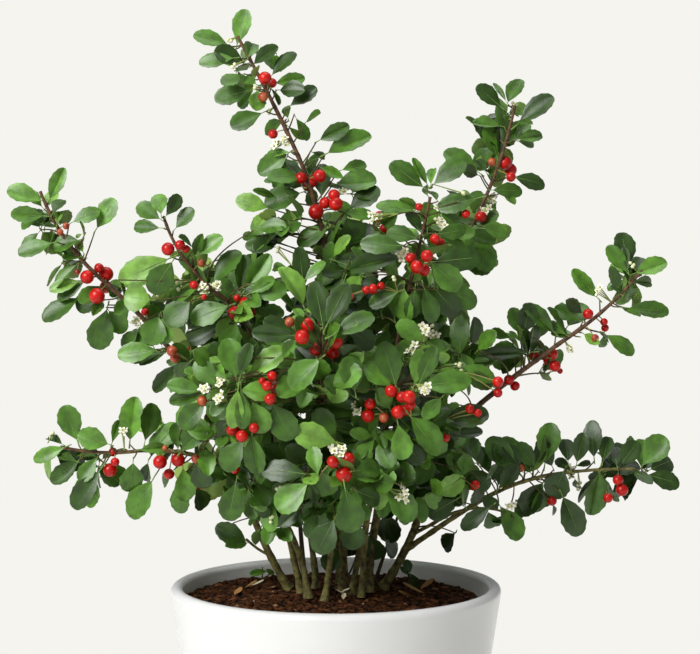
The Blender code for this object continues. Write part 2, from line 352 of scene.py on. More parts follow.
def turnPiece(profile, sides):
    # a circle, extruded ring by ring up the profile and closed to a point at each end
    deselectAll()
    radius, height = profile[0]
    bpy.ops.mesh.primitive_circle_add(vertices=sides, radius=radius, location=(0, 0, height))
    piece = bpy.context.object
    bpy.ops.object.transform_apply(location=True)
    bpy.ops.object.mode_set(mode="EDIT")
    bpy.ops.mesh.select_all(action="SELECT")
    for ringRadius, ringHeight in profile[1:]:
        bpy.ops.mesh.extrude_edges_move(TRANSFORM_OT_translate={"value": (0, 0, ringHeight - height)})
        ratio = ringRadius / radius
        bpy.ops.transform.resize(value=(ratio, ratio, 1), center_override=(0, 0, ringHeight))
        radius, height = ringRadius, ringHeight
    bpy.ops.mesh.merge(type="CENTER")
    bpy.ops.mesh.select_all(action="DESELECT")
    bpy.ops.object.mode_set(mode="OBJECT")
    firstRadius, firstHeight = profile[0]
    for vert in piece.data.vertices:
        if abs(vert.co.z - firstHeight) < 1e-7 and abs(math.hypot(vert.co.x, vert.co.y) - firstRadius) < 1e-6:
            vert.select = True
    bpy.ops.object.mode_set(mode="EDIT")
    bpy.ops.mesh.select_mode(type="VERT")
    bpy.ops.mesh.merge(type="CENTER")
    bpy.ops.mesh.select_all(action="SELECT")
    bpy.ops.mesh.normals_make_consistent(inside=False)
    bpy.ops.object.mode_set(mode="OBJECT")
    piece.data.shade_smooth()
    return piece


def makePot():
    lip = pot["wall"] / 2
    lipX, lipZ = rimRadius - lip, potHeight - lip
    foot = pot["foot"]
    profile = [(0.004, 0), (0.03, 0), (potOuter(0) - foot - 0.002, 0)]
    for step in range(9):
        angle = math.radians(-90 + 90 * step / 8)
        profile.append((potOuter(foot) - foot + foot * math.cos(angle), foot + foot * math.sin(angle)))
    profile += [(potOuter(z), z) for z in np.linspace(foot * 1.6, lipZ - 0.001, 16)]
    for step in range(17):
        angle = math.pi * step / 16
        profile.append((lipX + lip * math.cos(angle), lipZ + lip * math.sin(angle)))
    profile += [(potInner(z), z) for z in np.linspace(lipZ - 0.002, pot["floor"], 8)]
    profile.append((0.004, pot["floor"]))
    piece = turnPiece(profile, pot["sides"])
    # stoneware under a white satin glaze: bright, softly shiny, faintly uneven from the kiln
    glaze = newMaterial("white_glazed_stoneware", "#efeeea", Roughness=0.26, Coat_Weight=0.25,
                        Coat_Roughness=0.12, IOR=1.5)
    mottle(glaze, 60, "#dadad8", "#dfdfdd", detail=2.0)
    addBump(glaze, 24, 0.12)
    # inside the mouth the glaze is made whiter: painted light that brightens the shaded inner wall
    inside = newMaterial("glaze_inside_painted_light", "#f4f4f1", Roughness=0.3, IOR=1.5)
    piece.data.materials.append(glaze)
    piece.data.materials.append(inside)
    for face in piece.data.polygons:
        x, y, z = face.center
        if z > pot["floor"] - 1 * mm and math.hypot(x, y) < potOuter(z) - lip * 1.5:
            face.material_index = 1
    finishPiece(piece, "pot_glazed", "glazed_pot", "pot")


makePot()
print("pot ready")


# Soil: dark potting mix, lumpy and crumbly, with bark chips on it

soil = {
    "sides": 220,
    "rings": 64,
    "underLip": 11 * mm,
    "levelRadius": 50 * mm,  # level inside this, falling to the edge outside it
    "fallLeft": 2 * mm,
    "fallRight": 5.2 * mm,
    "lump": 11 * mm,
    "lumpHeight": 1.5 * mm,
    "crumb": 3.2 * mm,
    "crumbHeight": 1.1 * mm,
    "crumbs": 900,
}


def soilHeight(x, y):
    radius = math.hypot(x, y)
    edge = potInner(potHeight - soil["underLip"]) - 0.5 * mm
    # heaped a little higher at the left
    fall = soil["fallLeft"] + (soil["fallRight"] - soil["fallLeft"]) * (x / edge + 1) / 2
    level = soil["levelRadius"]
    base = soilTop - fall * max((radius - level) / (edge - level), 0)
    spot = Vector((x, y, 0))
    lumps = noise.noise(spot / soil["lump"]) * soil["lumpHeight"]
    crumbs = noise.turbulence(spot / soil["crumb"] + Vector((5, 5, 5)), 3, False) * soil["crumbHeight"]
    return base + lumps + crumbs - 1.1 * mm


def makeSoil():
    edge = potInner(soilTop - 6 * mm) - 0.45 * mm
    floorZ = soilBox[0].z + 1 * mm
    profile = [(0.004, floorZ), (potInner(floorZ) - 0.6 * mm, floorZ), (edge, soilTop - 9 * mm)]
    profile += [(edge * (1 - i / soil["rings"]) + 0.0005, soilTop) for i in range(soil["rings"])]
    piece = turnPiece(profile, soil["sides"])
    for vert in piece.data.vertices:
        if vert.co.z > soilTop - 1 * mm:
            vert.co.z = soilHeight(vert.co.x, vert.co.y)
    # damp peat and composted bark: nearly black, matt, with brown fibres
    mix = newMaterial("damp_potting_mix", "#38200f", Roughness=0.95, Specular_IOR_Level=0.08)
    mottle(mix, 4.5, "#120a05", "#6a4226", detail=6.0, low=0.42, high=0.66)
    addBump(mix, 1.2, 0.5, detail=4.0)
    piece.data.materials.append(mix)
    finishPiece(piece, "soil_mix", "potting_soil", "soil")


def basePebble(seed, flat):
    # a lumpy pebble with few faces
    deselectAll()
    bpy.ops.mesh.primitive_ico_sphere_add(subdivisions=2 if not flat else 1, radius=1)
    shape = bpy.context.object
    for vert in shape.data.vertices:
        push = 1 + 0.45 * noise.noise(vert.co * 1.3 + Vector((seed * 7.3, 0, 0)))
        x, y, z = vert.co * push
        vert.co = Vector((x, y * 0.8, z * (0.3 if flat else 0.75)))
    return takeArrays(shape)


def makeSoilBits():
    bitRng = random.Random(5)
    crumbShapes = [basePebble(s, False) for s in range(3)]
    chipShapes = [basePebble(s + 3, True) for s in range(3)]
    heap = Heap()
    edge = potInner(potHeight - soil["underLip"]) - 3 * mm
    for i in range(soil["crumbs"]):
        radius = edge * math.sqrt(bitRng.random())
        angle = bitRng.uniform(0, math.tau)
        x, y = radius * math.cos(angle), radius * math.sin(angle)
        isChip = i % 9 == 0
        points, faces = bitRng.choice(chipShapes if isChip else crumbShapes)
        size = bitRng.uniform(1.4, 3.4) * mm if isChip else bitRng.uniform(0.6, 2.1) * mm
        turn = Matrix.Rotation(bitRng.uniform(0, math.tau), 3, "Z")
        turn = turn @ Matrix.Rotation(bitRng.gauss(0, 0.35), 3, "X")
        placed = points * size @ np.array(turn.transposed())
        placed = placed + np.array((x, y, soilHeight(x, y) + size * 0.15))
        if isChip:
            slot = bitRng.choice((1, 1, 2))
        else:
            slot = 3 if bitRng.random() < 0.008 else 0
        heap.add(placed, faces, np.full(len(faces), slot))
    # crumbs of peat, chips of bark, and a few grains of grit
    crumb = newMaterial("peat_crumb", "#3a2111", Roughness=0.95, Specular_IOR_Level=0.08)
    bark = newMaterial("bark_chip", "#623a1d", Roughness=0.85, Specular_IOR_Level=0.2)
    paleBark = newMaterial("bark_chip_worn", "#7d5c3a", Roughness=0.85)
    grit = newMaterial("perlite_grit", "#a08a6c", Roughness=0.9)
    piece = heap.piece("soil_crumbs", [crumb, bark, paleBark, grit])
    finishPiece(piece, "soil_crumbs", "potting_soil")


makeSoil()
makeSoilBits()
print("soil ready")


# Limbs: the same rule as the solids follow. A limb leaves the soil at its foot (mm), or its
# parent at a share of its length, with leans from the upright and compass headings in degrees
# at even stations.

limbs = {
    "stem_far_left": dict(foot=(-31, 17), length=315, radii=(2.4, 1.0),
                          leans=(34, 17, 35, 49, 16), headings=(217, 189, 192)),
    "stem_left": dict(foot=(-22, 3), length=277, radii=(2.2, 0.9),
                      leans=(16, 15, 7, 53, 11), headings=(219, 233, 165)),
    "stem_low_left": dict(foot=(-17, -18), length=219, radii=(2.1, 0.9),
                          leans=(7, 29, 68, 95, 71), headings=(196, 191, 186)),
    "stem_rear_left": dict(foot=(-13, 17), length=265, radii=(2.0, 0.9),
                           leans=(4, 22, 50, 48), headings=(150, 122, 130)),
    "stem_front": dict(foot=(-7, -28), length=183, radii=(2.0, 1.0),
                       leans=(10, 7, 28, 38, 43), headings=(340, 254, 273)),
    "stem_leader": dict(foot=(5, 11), length=375, radii=(2.6, 1.0),
                        leans=(2, 8, 2, 24, 32), headings=(253, 220, 152)),
    "stem_centre_right": dict(foot=(10, -3), length=271, radii=(2.0, 0.9),
                              leans=(16, 20, 8, 15, 11), headings=(306, 315, 358)),
    "stem_front_right": dict(foot=(16, -14), length=172, radii=(1.8, 0.9),
                             leans=(8, 20, 42, 48), headings=(290, 286, 280)),
    "stem_right_upper": dict(foot=(21, 3), length=334, radii=(2.3, 0.9),
                             leans=(1, 22, 13, 26, 10), headings=(23, 2, -20)),
    "stem_rear_right": dict(foot=(18, 23), length=265, radii=(2.0, 0.9),
                            leans=(10, 22, 42, 38), headings=(40, 60, 50)),
    "stem_far_right": dict(foot=(30, 16), length=280, radii=(2.7, 0.9),
                           leans=(34, 14, 50, 55, 36), headings=(352, 352, 359)),
    "stem_rear": dict(foot=(2, 30), length=205, radii=(2.1, 0.9),
                      leans=(10, 28, 48, 44), headings=(100, 92, 88)),
    "bough_low_right": dict(parent="stem_far_right", share=0.10, length=172, radii=(1.9, 0.8),
                            leans=(53, 57, 82, 93), headings=(338, 355, 361)),
    "bough_under_right": dict(parent="stem_far_right", share=0.14, length=82, radii=(1.3, 0.7),
                              leans=(64, 60, 84, 112), headings=(318, 328, 335)),
    "bough_low_twig": dict(parent="stem_far_left", share=0.085, length=30, radii=(1.0, 0.7),
                           leans=(66, 48, 40), headings=(205, 195, 190)),
    "bough_rear_leader": dict(parent="stem_rear", share=0.12, length=222, radii=(1.7, 0.9),
                              leans=(38, 12, 4, 16), headings=(60, 78, 100)),
}
limbStep = 2 * mm
flareHeight = 9 * mm
flareFactor = 0.6
hiddenSteps = 5  # the last leaves hide a limb's very tip
youngBarkFrom = 95 * mm  # over the soil


def atStations(values, t):
    place = min(max(t, 0.0), 1.0) * (len(values) - 1)
    low = min(int(place), len(values) - 2)
    return values[low] + (values[low + 1] - values[low]) * (place - low)


def limbPath(limb):
    if "parent" in limb:
        parentPath = paths[limb["parent"]]
        point = parentPath[round(limb["share"] * (len(parentPath) - 1))]
    else:
        point = Vector((limb["foot"][0] * mm, limb["foot"][1] * mm, soilTop + 0.3 * mm))
    steps = round(limb["length"] * mm / limbStep)
    stride = limb["length"] * mm / steps
    path = [point.copy()]
    for step in range(steps):
        share = (step + 0.5) / steps
        lean = math.radians(atStations(limb["leans"], share))
        heading = math.radians(atStations(limb["headings"], share))
        point = point + stride * Vector((math.sin(lean) * math.cos(heading),
                                         math.sin(lean) * math.sin(heading), math.cos(lean)))
        path.append(point.copy())
    return path


paths = {}
for limbName, limb in limbs.items():
    paths[limbName] = limbPath(limb)


def makeLimbs():
    # woody bark: smooth grey-brown with an olive cast low down, redder and thinner above
    lowBark = newMaterial("holly_bark_old", "#5f5730", Roughness=0.72, Specular_IOR_Level=0.3)
    mottle(lowBark, 3.5, "#433721", "#7c7840", detail=4.0)
    addBump(lowBark, 1.0, 0.25, stretch=(1, 1, 0.3))
    highBark = newMaterial("holly_bark_young", "#54301c", Roughness=0.62, Specular_IOR_Level=0.4)
    mottle(highBark, 3.0, "#3b2717", "#694a2d", detail=4.0)
    addBump(highBark, 0.8, 0.15, stretch=(1, 1, 0.4))
    for kind in ("stem", "bough"):
        heap = Heap()
        for seed, (name, limb) in enumerate(limbs.items()):
            if not name.startswith(kind):
                continue
            path = paths[name][:-hiddenSteps]
            radii = []
            for i in range(len(path)):
                share = i / (len(path) - 1)
                radius = (limb["radii"][0] + (limb["radii"][1] - limb["radii"][0]) * share) * mm
                if "foot" in limb:
                    radius *= 1 + flareFactor * math.exp(-i * limbStep / (flareHeight / 2))
                joint = math.exp(-((i * 2 + seed * 3) % 17 - 8) ** 2 / 3) * 0.14  # an old leaf scar
                radii.append(radius * (1 + joint))
            points, faces = sweepTube(path, radii, 14, relief=0.12, seed=seed)
            heights = points[faces[:, 0], 2]
            heap.add(points, faces, np.where(heights < soilTop + youngBarkFrom, 0, 1))
        piece = heap.piece(kind + "s_bark", [lowBark, highBark])
        names = [n for n in limbs if n.startswith(kind)]
        finishPiece(piece, kind + "s_bark", kind + "_bark", *names)


makeLimbs()
print("limbs ready")


# Growth: twigs run from the limbs into each mass's room, leaves stand along them by turns

growth = {
    "seed": 11,
    "roomPerTwig": 10.5e-6,  # cubic metres of a mass for one twig
    "twigRadius": 0.62 * mm,
    "tipRadius": 0.36 * mm,
    "bareSteps": 20,  # a limb's foot carries no twigs
    "leafyEnd": 32 * mm,  # a twig has leaves on this much of its end
    "leafGap": 6.4 * mm,
    "leafTurn": 2.4,  # radians from one leaf to the next
    "leafLength": (16 * mm, 24 * mm),
    "petiole": 2.6 * mm,
    "behindFront": 13 * mm,  # leaves grown by rule start this far behind the crown's front
    "behindArm": 5 * mm,
    "armGaps": 0.25,  # share of an arm's twigs left out, as the read leaves stand there too
    "lowestPixel": 522,
}
armMasses = ("foliage_leader", "foliage_far_left", "foliage_left_arm", "foliage_low_left", "foliage_low_twig",
             "foliage_centre_right_tip", "foliage_right_upper", "foliage_far_right", "foliage_low_right",
             "foliage_under_right")
leaf = {
    "rows": 11,
    "thickness": 0.32 * mm,
    "widthShare": 0.62,
    "dome": 0.10,
    "scallop": 0.045,
}
rng = random.Random(growth["seed"])
crownMiddle = Vector((0.005, 0.0, soilTop + 0.13))
massNames = sorted(n for n in frame["nodes"] if n.startswith("foliage_"))
skeleton = []  # points along limbs and twigs, to hang berries and blossom from
twigTubes = []  # (path, radii)
twigTips = []  # (point, direction)
leafMarks = []  # (attach point, direction, normal, length, kind), grown by rule
seenMarks = []  # the same and a width, read from the photo


def randomUnit():
    z = rng.uniform(-1, 1)
    angle = rng.uniform(0, math.tau)
    side = math.sqrt(1 - z * z)
    return Vector((side * math.cos(angle), side * math.sin(angle), z))


def massSamples(name, count):
    # points spread in a mass's own room, more of them near its surface
    mesh = frame["nodes"][name].data
    corners = [v.co for v in mesh.vertices]
    middle = sum(corners, Vector()) / len(corners)
    mesh.calc_loop_triangles()
    triangles = [[mesh.vertices[i].co for i in t.vertices] for t in mesh.loop_triangles]
    weights = [(b - a).cross(c - a).length for a, b, c in triangles]
    samples = []
    for a, b, c in rng.choices(triangles, weights, k=count):
        u, v = sorted((rng.random(), rng.random()))
        spot = a * u + b * (v - u) + c * (1 - v)
        samples.append(middle + (spot - middle) * rng.uniform(0.5, 0.93))
    return samples


def massRoom(name):
    mesh = frame["nodes"][name].data
    mesh.calc_loop_triangles()
    room = 0.0
    for triangle in mesh.loop_triangles:
        a, b, c = (mesh.vertices[i].co for i in triangle.vertices)
        room += a.dot(b.cross(c)) / 6
    return abs(room)


# Leaves that stand against the sky, limb by limb, as the photo shows them: the pixel of the
# blade's foot, the pixel of its tip and its width in pixels
seenLeaves = {
    "stem_leader": (
        (228, 45, 196, 34, 17), (237, 45, 246, 12, 18), (233, 58, 201, 61, 15), (248, 57, 252, 43, 14),
        (254, 64, 276, 47, 14), (272, 75, 293, 53, 17), (241, 75, 224, 82, 15), (250, 90, 217, 99, 19),
        (252, 91, 240, 107, 10), (256, 84, 243, 75, 11), (258, 90, 256, 110, 16), (262, 113, 233, 126, 18),
        (276, 83, 303, 78, 13), (280, 90, 303, 90, 17), (290, 106, 315, 89, 15), (288, 118, 284, 102, 9),
        (271, 88, 280, 105, 5), (306, 122, 317, 112, 12), (255, 78, 257, 67, 9), (283, 121, 264, 131, 15),
        (296, 118, 306, 139, 12), (289, 127, 306, 141, 8), (320, 140, 347, 126, 15),
        (328, 153, 367, 134, 21), (289, 152, 268, 154, 9), (287, 154, 260, 172, 19),
        (286, 160, 276, 187, 13), (342, 170, 366, 163, 12), (337, 184, 374, 181, 23),
        (350, 208, 377, 189, 22), (268, 208, 238, 199, 17), (275, 197, 257, 190, 8),
        (300, 193, 267, 204, 23), (302, 187, 280, 183, 12), (274, 219, 251, 229, 18),
        (262, 237, 242, 236, 9), (275, 247, 247, 245, 14), (322, 168, 340, 176, 10),
        (346, 218, 358, 240, 24), (328, 228, 298, 241, 20), (329, 228, 340, 258, 18),
        (276, 228, 300, 214, 13), (272, 238, 292, 226, 12), (312, 152, 322, 157, 7),
        (313, 160, 299, 166, 8),
    ),
    "stem_far_left": (
        (42, 201, 10, 189, 18), (50, 199, 63, 170, 14), (43, 216, 13, 214, 15), (53, 213, 62, 198, 12),
        (57, 224, 59, 210, 8), (73, 222, 97, 210, 15), (97, 228, 114, 201, 19), (52, 243, 20, 252, 17),
        (78, 240, 54, 246, 17), (83, 257, 62, 252, 14), (82, 260, 70, 267, 9), (83, 252, 76, 240, 8),
        (80, 281, 51, 289, 13), (85, 280, 58, 297, 14), (79, 298, 45, 319, 21), (84, 236, 84, 223, 4),
        (98, 290, 78, 309, 20), (100, 286, 82, 300, 15), (107, 309, 97, 347, 24), (109, 311, 124, 331, 18),
        (131, 300, 116, 313, 14), (108, 283, 119, 296, 12), (103, 302, 94, 314, 10),
        (128, 306, 118, 322, 14), (138, 330, 122, 347, 14), (150, 326, 131, 346, 18),
        (141, 306, 160, 318, 16), (56, 226, 46, 226, 7), (82, 234, 76, 237, 4),
    ),
    "stem_left": (
        (160, 219, 139, 206, 16), (161, 214, 158, 194, 15), (166, 216, 178, 197, 13),
        (176, 228, 192, 210, 16), (160, 228, 136, 227, 13), (192, 247, 183, 236, 10),
        (195, 256, 201, 236, 10), (196, 255, 221, 239, 16), (168, 259, 122, 279, 26),
        (172, 262, 153, 291, 24), (213, 283, 237, 253, 22), (240, 292, 246, 258, 18),
        (245, 290, 268, 257, 18), (150, 300, 126, 296, 26), (190, 262, 204, 288, 12),
        (120, 282, 128, 296, 8), (188, 330, 205, 304, 20), (222, 300, 207, 324, 17),
    ),
    "stem_low_left": (
        (77, 440, 65, 408, 21), (62, 444, 47, 437, 9), (65, 447, 35, 459, 13), (79, 460, 53, 481, 16),
        (76, 461, 58, 454, 9), (108, 444, 80, 435, 20), (112, 443, 119, 423, 9), (130, 440, 134, 400, 22),
        (145, 441, 152, 406, 22), (155, 450, 174, 425, 18), (140, 450, 165, 447, 10), (98, 467, 81, 466, 8),
        (100, 470, 75, 506, 20), (133, 463, 131, 491, 22), (152, 481, 132, 516, 23),
        (183, 468, 186, 499, 20), (178, 484, 181, 512, 18), (196, 488, 204, 508, 18),
        (172, 472, 160, 485, 13), (195, 470, 213, 480, 18), (184, 446, 207, 425, 20),
        (180, 440, 190, 405, 18), (148, 463, 146, 482, 12),
    ),
    "stem_centre_right": (
        (423, 187, 393, 165, 20), (427, 184, 414, 160, 8), (431, 184, 433, 168, 9),
        (434, 184, 462, 162, 20), (428, 196, 422, 182, 7), (415, 211, 380, 203, 14),
        (418, 209, 401, 200, 9), (437, 200, 431, 192, 8), (478, 198, 441, 207, 18),
        (457, 200, 450, 190, 10), (421, 233, 408, 214, 14), (393, 228, 385, 212, 13),
    ),
    "stem_right_upper": (
        (501, 107, 478, 87, 18), (508, 102, 520, 79, 16), (506, 101, 495, 82, 6), (518, 124, 551, 98, 20),
        (509, 113, 521, 111, 9), (515, 123, 529, 121, 8), (516, 139, 519, 128, 6), (518, 139, 542, 135, 12),
        (518, 141, 538, 145, 8), (500, 126, 474, 122, 11), (497, 157, 488, 127, 19),
        (500, 157, 501, 128, 10), (478, 172, 447, 151, 20), (478, 175, 462, 168, 12),
        (493, 176, 488, 166, 9), (486, 172, 478, 160, 9), (515, 177, 544, 184, 17),
        (493, 190, 521, 190, 15), (505, 194, 514, 203, 8), (486, 200, 470, 193, 10),
        (470, 230, 497, 214, 18), (468, 245, 494, 262, 22), (462, 262, 490, 268, 20),
    ),
    "stem_far_right": (
        (627, 272, 609, 247, 15), (628, 270, 624, 248, 8), (620, 291, 612, 268, 11),
        (621, 294, 613, 283, 8), (636, 273, 665, 262, 17), (634, 282, 654, 282, 11),
        (630, 286, 633, 302, 12), (629, 308, 667, 311, 17), (622, 308, 638, 314, 9),
        (597, 297, 574, 271, 14), (582, 313, 565, 300, 13), (579, 320, 556, 308, 14),
        (553, 331, 526, 305, 16), (520, 333, 512, 309, 16), (565, 334, 546, 322, 12),
        (576, 336, 552, 331, 9), (606, 335, 634, 352, 15), (600, 333, 611, 341, 7), (604, 335, 602, 349, 8),
        (584, 334, 596, 342, 9), (520, 341, 510, 334, 5), (510, 338, 492, 331, 10),
        (530, 352, 486, 355, 14), (522, 358, 500, 370, 14), (550, 360, 541, 373, 8),
        (547, 352, 532, 343, 11),
    ),
    "bough_low_right": (
        (643, 465, 664, 438, 24), (648, 475, 679, 483, 19), (632, 471, 649, 479, 11),
        (620, 465, 637, 443, 18), (617, 466, 614, 447, 13), (603, 461, 608, 439, 14),
        (594, 457, 591, 423, 18), (577, 462, 583, 434, 15), (568, 461, 566, 440, 16),
        (545, 463, 551, 425, 22), (536, 468, 518, 444, 16), (576, 466, 591, 462, 6),
        (600, 472, 592, 514, 22), (564, 471, 552, 497, 24), (563, 497, 580, 535, 23),
        (553, 505, 556, 517, 6), (543, 483, 521, 514, 21), (542, 487, 535, 512, 16),
        (575, 479, 580, 492, 10), (548, 488, 545, 509, 10), (599, 474, 604, 494, 14),
        (552, 466, 541, 441, 16), (570, 470, 556, 458, 10),
    ),
    "bough_under_right": ((500, 506, 518, 538, 23), (488, 512, 496, 531, 16)),
    "bough_low_twig": ((246, 541, 217, 527, 19), (247, 543, 228, 545, 13)),
}
# The same for the front of the crown's body: in front, behind those, and deep in the shade
bodyLeaves = (
    (
        (250, 293, 272, 279, 12), (256, 297, 284, 288, 17), (228, 306, 193, 318, 22),
        (190, 302, 168, 322, 24), (159, 317, 150, 342, 24), (162, 318, 166, 342, 18),
        (157, 350, 120, 354, 19), (237, 322, 226, 350, 20), (236, 378, 228, 343, 22),
        (247, 377, 281, 352, 20), (216, 384, 197, 364, 18), (210, 365, 196, 352, 16),
        (226, 379, 213, 366, 12), (204, 391, 171, 385, 15), (204, 394, 173, 401, 14),
        (180, 363, 155, 390, 15), (205, 402, 182, 424, 18), (182, 451, 206, 424, 20),
        (228, 402, 213, 416, 14), (238, 390, 233, 425, 15), (241, 390, 243, 425, 14),
        (241, 390, 268, 394, 19), (253, 402, 263, 430, 22), (243, 440, 225, 467, 22),
        (252, 436, 257, 471, 19), (306, 474, 266, 468, 20), (197, 464, 205, 487, 20),
        (256, 482, 266, 503, 18), (308, 483, 280, 507, 25), (300, 508, 282, 524, 13),
        (311, 484, 316, 502, 10), (322, 472, 327, 495, 22), (318, 475, 313, 450, 14),
        (355, 471, 377, 468, 18), (345, 488, 352, 528, 25), (356, 491, 380, 500, 17),
        (334, 520, 318, 550, 24), (388, 488, 412, 517, 23), (304, 288, 299, 250, 16),
        (305, 280, 322, 262, 10), (303, 305, 286, 270, 21), (296, 336, 257, 333, 15),
        (255, 324, 271, 320, 12), (297, 340, 282, 354, 12), (303, 320, 296, 310, 9),
        (323, 326, 316, 287, 20), (327, 325, 344, 289, 19), (333, 335, 369, 318, 19),
        (403, 246, 364, 243, 18), (398, 292, 372, 305, 15), (404, 288, 404, 322, 17),
        (415, 290, 412, 317, 16), (424, 287, 433, 320, 17), (431, 263, 458, 286, 22),
        (434, 262, 478, 257, 21), (424, 342, 400, 324, 17), (460, 354, 459, 319, 19),
        (478, 350, 493, 333, 15), (437, 332, 450, 330, 10), (415, 384, 420, 353, 15),
        (419, 384, 434, 350, 15), (421, 386, 466, 380, 20), (458, 365, 436, 372, 9),
        (463, 366, 492, 378, 15), (441, 398, 426, 415, 14), (411, 417, 437, 450, 24),
        (398, 424, 403, 456, 19), (376, 427, 383, 447, 10), (375, 430, 361, 458, 20),
        (396, 386, 384, 347, 22), (391, 386, 369, 366, 20), (355, 391, 348, 360, 22),
        (353, 396, 328, 380, 17), (362, 412, 320, 402, 21), (362, 414, 357, 398, 10),
        (336, 442, 298, 432, 23), (319, 360, 292, 384, 24), (273, 404, 290, 436, 24),
        (490, 507, 463, 527, 15), (455, 533, 444, 549, 18), (514, 482, 491, 469, 14),
        (344, 212, 372, 215, 11), (398, 214, 383, 226, 12), (462, 222, 446, 214, 12),
        (482, 226, 507, 232, 15), (524, 332, 530, 305, 19), (240, 377, 249, 347, 13),
        (227, 393, 214, 412, 13),
    ),
    (
        (163, 311, 188, 293, 13), (160, 352, 131, 360, 14), (252, 335, 256, 362, 16),
        (190, 362, 173, 377, 13), (178, 449, 176, 425, 14), (228, 421, 213, 435, 14),
        (238, 466, 248, 482, 9), (232, 472, 235, 487, 13), (236, 483, 229, 518, 23),
        (253, 500, 270, 517, 12), (271, 519, 267, 540, 13), (275, 528, 289, 538, 12),
        (260, 529, 255, 541, 10), (318, 512, 307, 535, 15), (342, 521, 358, 545, 22),
        (333, 545, 329, 569, 18), (350, 542, 353, 561, 17), (290, 483, 273, 493, 12),
        (318, 503, 301, 513, 12), (288, 268, 272, 267, 9), (254, 309, 282, 313, 14),
        (297, 334, 267, 322, 15), (350, 285, 322, 286, 14), (346, 270, 325, 272, 16),
        (350, 262, 349, 285, 12), (399, 257, 354, 267, 19), (436, 290, 456, 312, 22),
        (445, 290, 475, 303, 21), (470, 250, 492, 268, 22), (438, 234, 463, 230, 14),
        (472, 345, 477, 320, 16), (432, 318, 446, 316, 10), (458, 354, 444, 340, 10),
        (462, 372, 490, 385, 15), (366, 420, 346, 436, 13), (352, 417, 328, 419, 9),
        (336, 440, 318, 412, 20), (318, 404, 293, 405, 14), (462, 478, 445, 480, 17),
        (455, 468, 442, 455, 14), (516, 470, 489, 440, 22), (520, 468, 505, 446, 16),
        (440, 422, 484, 415, 22), (425, 418, 458, 428, 10), (417, 238, 390, 230, 17),
        (465, 232, 494, 240, 14), (318, 358, 329, 364, 8),
    ),
    (
        (222, 325, 190, 340, 18), (185, 320, 172, 340, 18), (205, 335, 176, 345, 18),
        (150, 300, 165, 318, 16), (368, 535, 379, 558, 20), (385, 540, 398, 556, 17),
        (385, 512, 392, 543, 22), (372, 300, 347, 312, 16), (455, 500, 430, 515, 20),
        (450, 435, 480, 432, 12), (262, 445, 285, 458, 20), (300, 392, 282, 372, 20),
        (390, 465, 412, 480, 20), (420, 470, 436, 492, 20), (350, 330, 372, 345, 20),
        (300, 455, 282, 445, 18), (340, 300, 362, 290, 16), (470, 470, 488, 488, 18),
        (404, 440, 420, 462, 18),
    ),
)
pixelSize = 0.6325 * mm
standing = {
    "layerStep": 12 * mm,
    "behindHull": 3 * mm,
    "hubReach": 9,  # leaves whose feet are this near (pixels) stand on one twig's tip
    "grown": 1.06,  # a read outline stops short of the blurred margin by this much
    "least": (15 * mm, 18 * mm),  # a leaf that looks shorter than this leans to or from the camera
    "small": 6 * mm,  # but one that looks shorter than this is a small one
    "stalkRadii": [0.5 * mm, 0.46 * mm, 0.42 * mm, 0.38 * mm],
}

# Open sky in the photo, read as discs (pixels): nothing grown by rule reaches in there
skyDiscs = (
    (232, 195, 22), (210, 215, 24), (190, 225, 18), (225, 225, 26), (236, 246, 10), (145, 240, 17),
    (35, 266, 18), (178, 271, 9), (270, 271, 9), (277, 252, 8), (296, 247, 7), (316, 270, 10),
    (309, 284, 8), (275, 304, 8), (286, 312, 6), (388, 190, 14), (370, 165, 16), (402, 222, 8),
    (404, 270, 8), (383, 278, 6), (455, 182, 12), (470, 185, 9), (455, 140, 22), (522, 205, 16),
    (515, 245, 18), (490, 285, 22), (487, 314, 16), (508, 295, 18), (472, 272, 8), (447, 320, 5),
    (553, 300, 8), (563, 292, 8), (605, 300, 5), (515, 405, 22), (533, 385, 10), (495, 415, 12),
    (445, 400, 6), (460, 398, 8), (482, 398, 8), (492, 428, 13), (530, 425, 16), (403, 528, 8),
    (458, 516, 7), (150, 372, 10), (163, 400, 14), (172, 412, 10), (207, 411, 8), (130, 385, 16),
    (118, 500, 10), (105, 492, 8), (200, 530, 22), (183, 542, 16), (215, 545, 12), (235, 512, 9),
    (225, 500, 8), (160, 510, 14), (440, 545, 12), (465, 538, 12), (490, 545, 14), (425, 532, 8),
    (250, 180, 18), (120, 265, 5), (100, 385, 20), (272, 35, 13), (295, 45, 8), (300, 68, 10),
    (312, 103, 9), (349, 157, 7), (545, 120, 13), (508, 266, 10), (468, 314, 8), (560, 385, 12),
    (648, 290, 12), (650, 250, 8), (602, 418, 8), (615, 430, 8), (637, 425, 14), (605, 515, 10),
    (628, 510, 14), (38, 428, 12), (33, 455, 8), (62, 400, 8), (97, 408, 10), (115, 420, 7), (165, 495, 10),
    (120, 497, 9), (97, 240, 9), (112, 250, 12), (218, 250, 14), (240, 250, 8), (250, 218, 9),
    (215, 515, 7), (240, 520, 7), (250, 530, 7), (460, 392, 7), (480, 405, 8), (610, 455, 5), (612, 487, 5),
    (68, 192, 14), (85, 206, 11), (122, 262, 11), (212, 77, 8), (258, 150, 9), (320, 132, 13),
    (530, 160, 14), (548, 180, 10), (588, 272, 15), (604, 262, 10), (650, 497, 18), (670, 435, 9),
    (683, 452, 10), (550, 520, 10), (502, 212, 9), (630, 455, 5), (115, 240, 14), (95, 250, 8),
    (570, 372, 10), (30, 228, 8), (8, 200, 8), (520, 62, 15),
)
# the part of the photo where the crown's front leaves are all read one by one (pixels)
readBody = {"left": 140, "right": 500, "top": 235, "bottom": 510}


def inSky(x, y):
    return any(math.hypot(x - skyX, y - skyY) < reach for skyX, skyY, reach in skyDiscs)


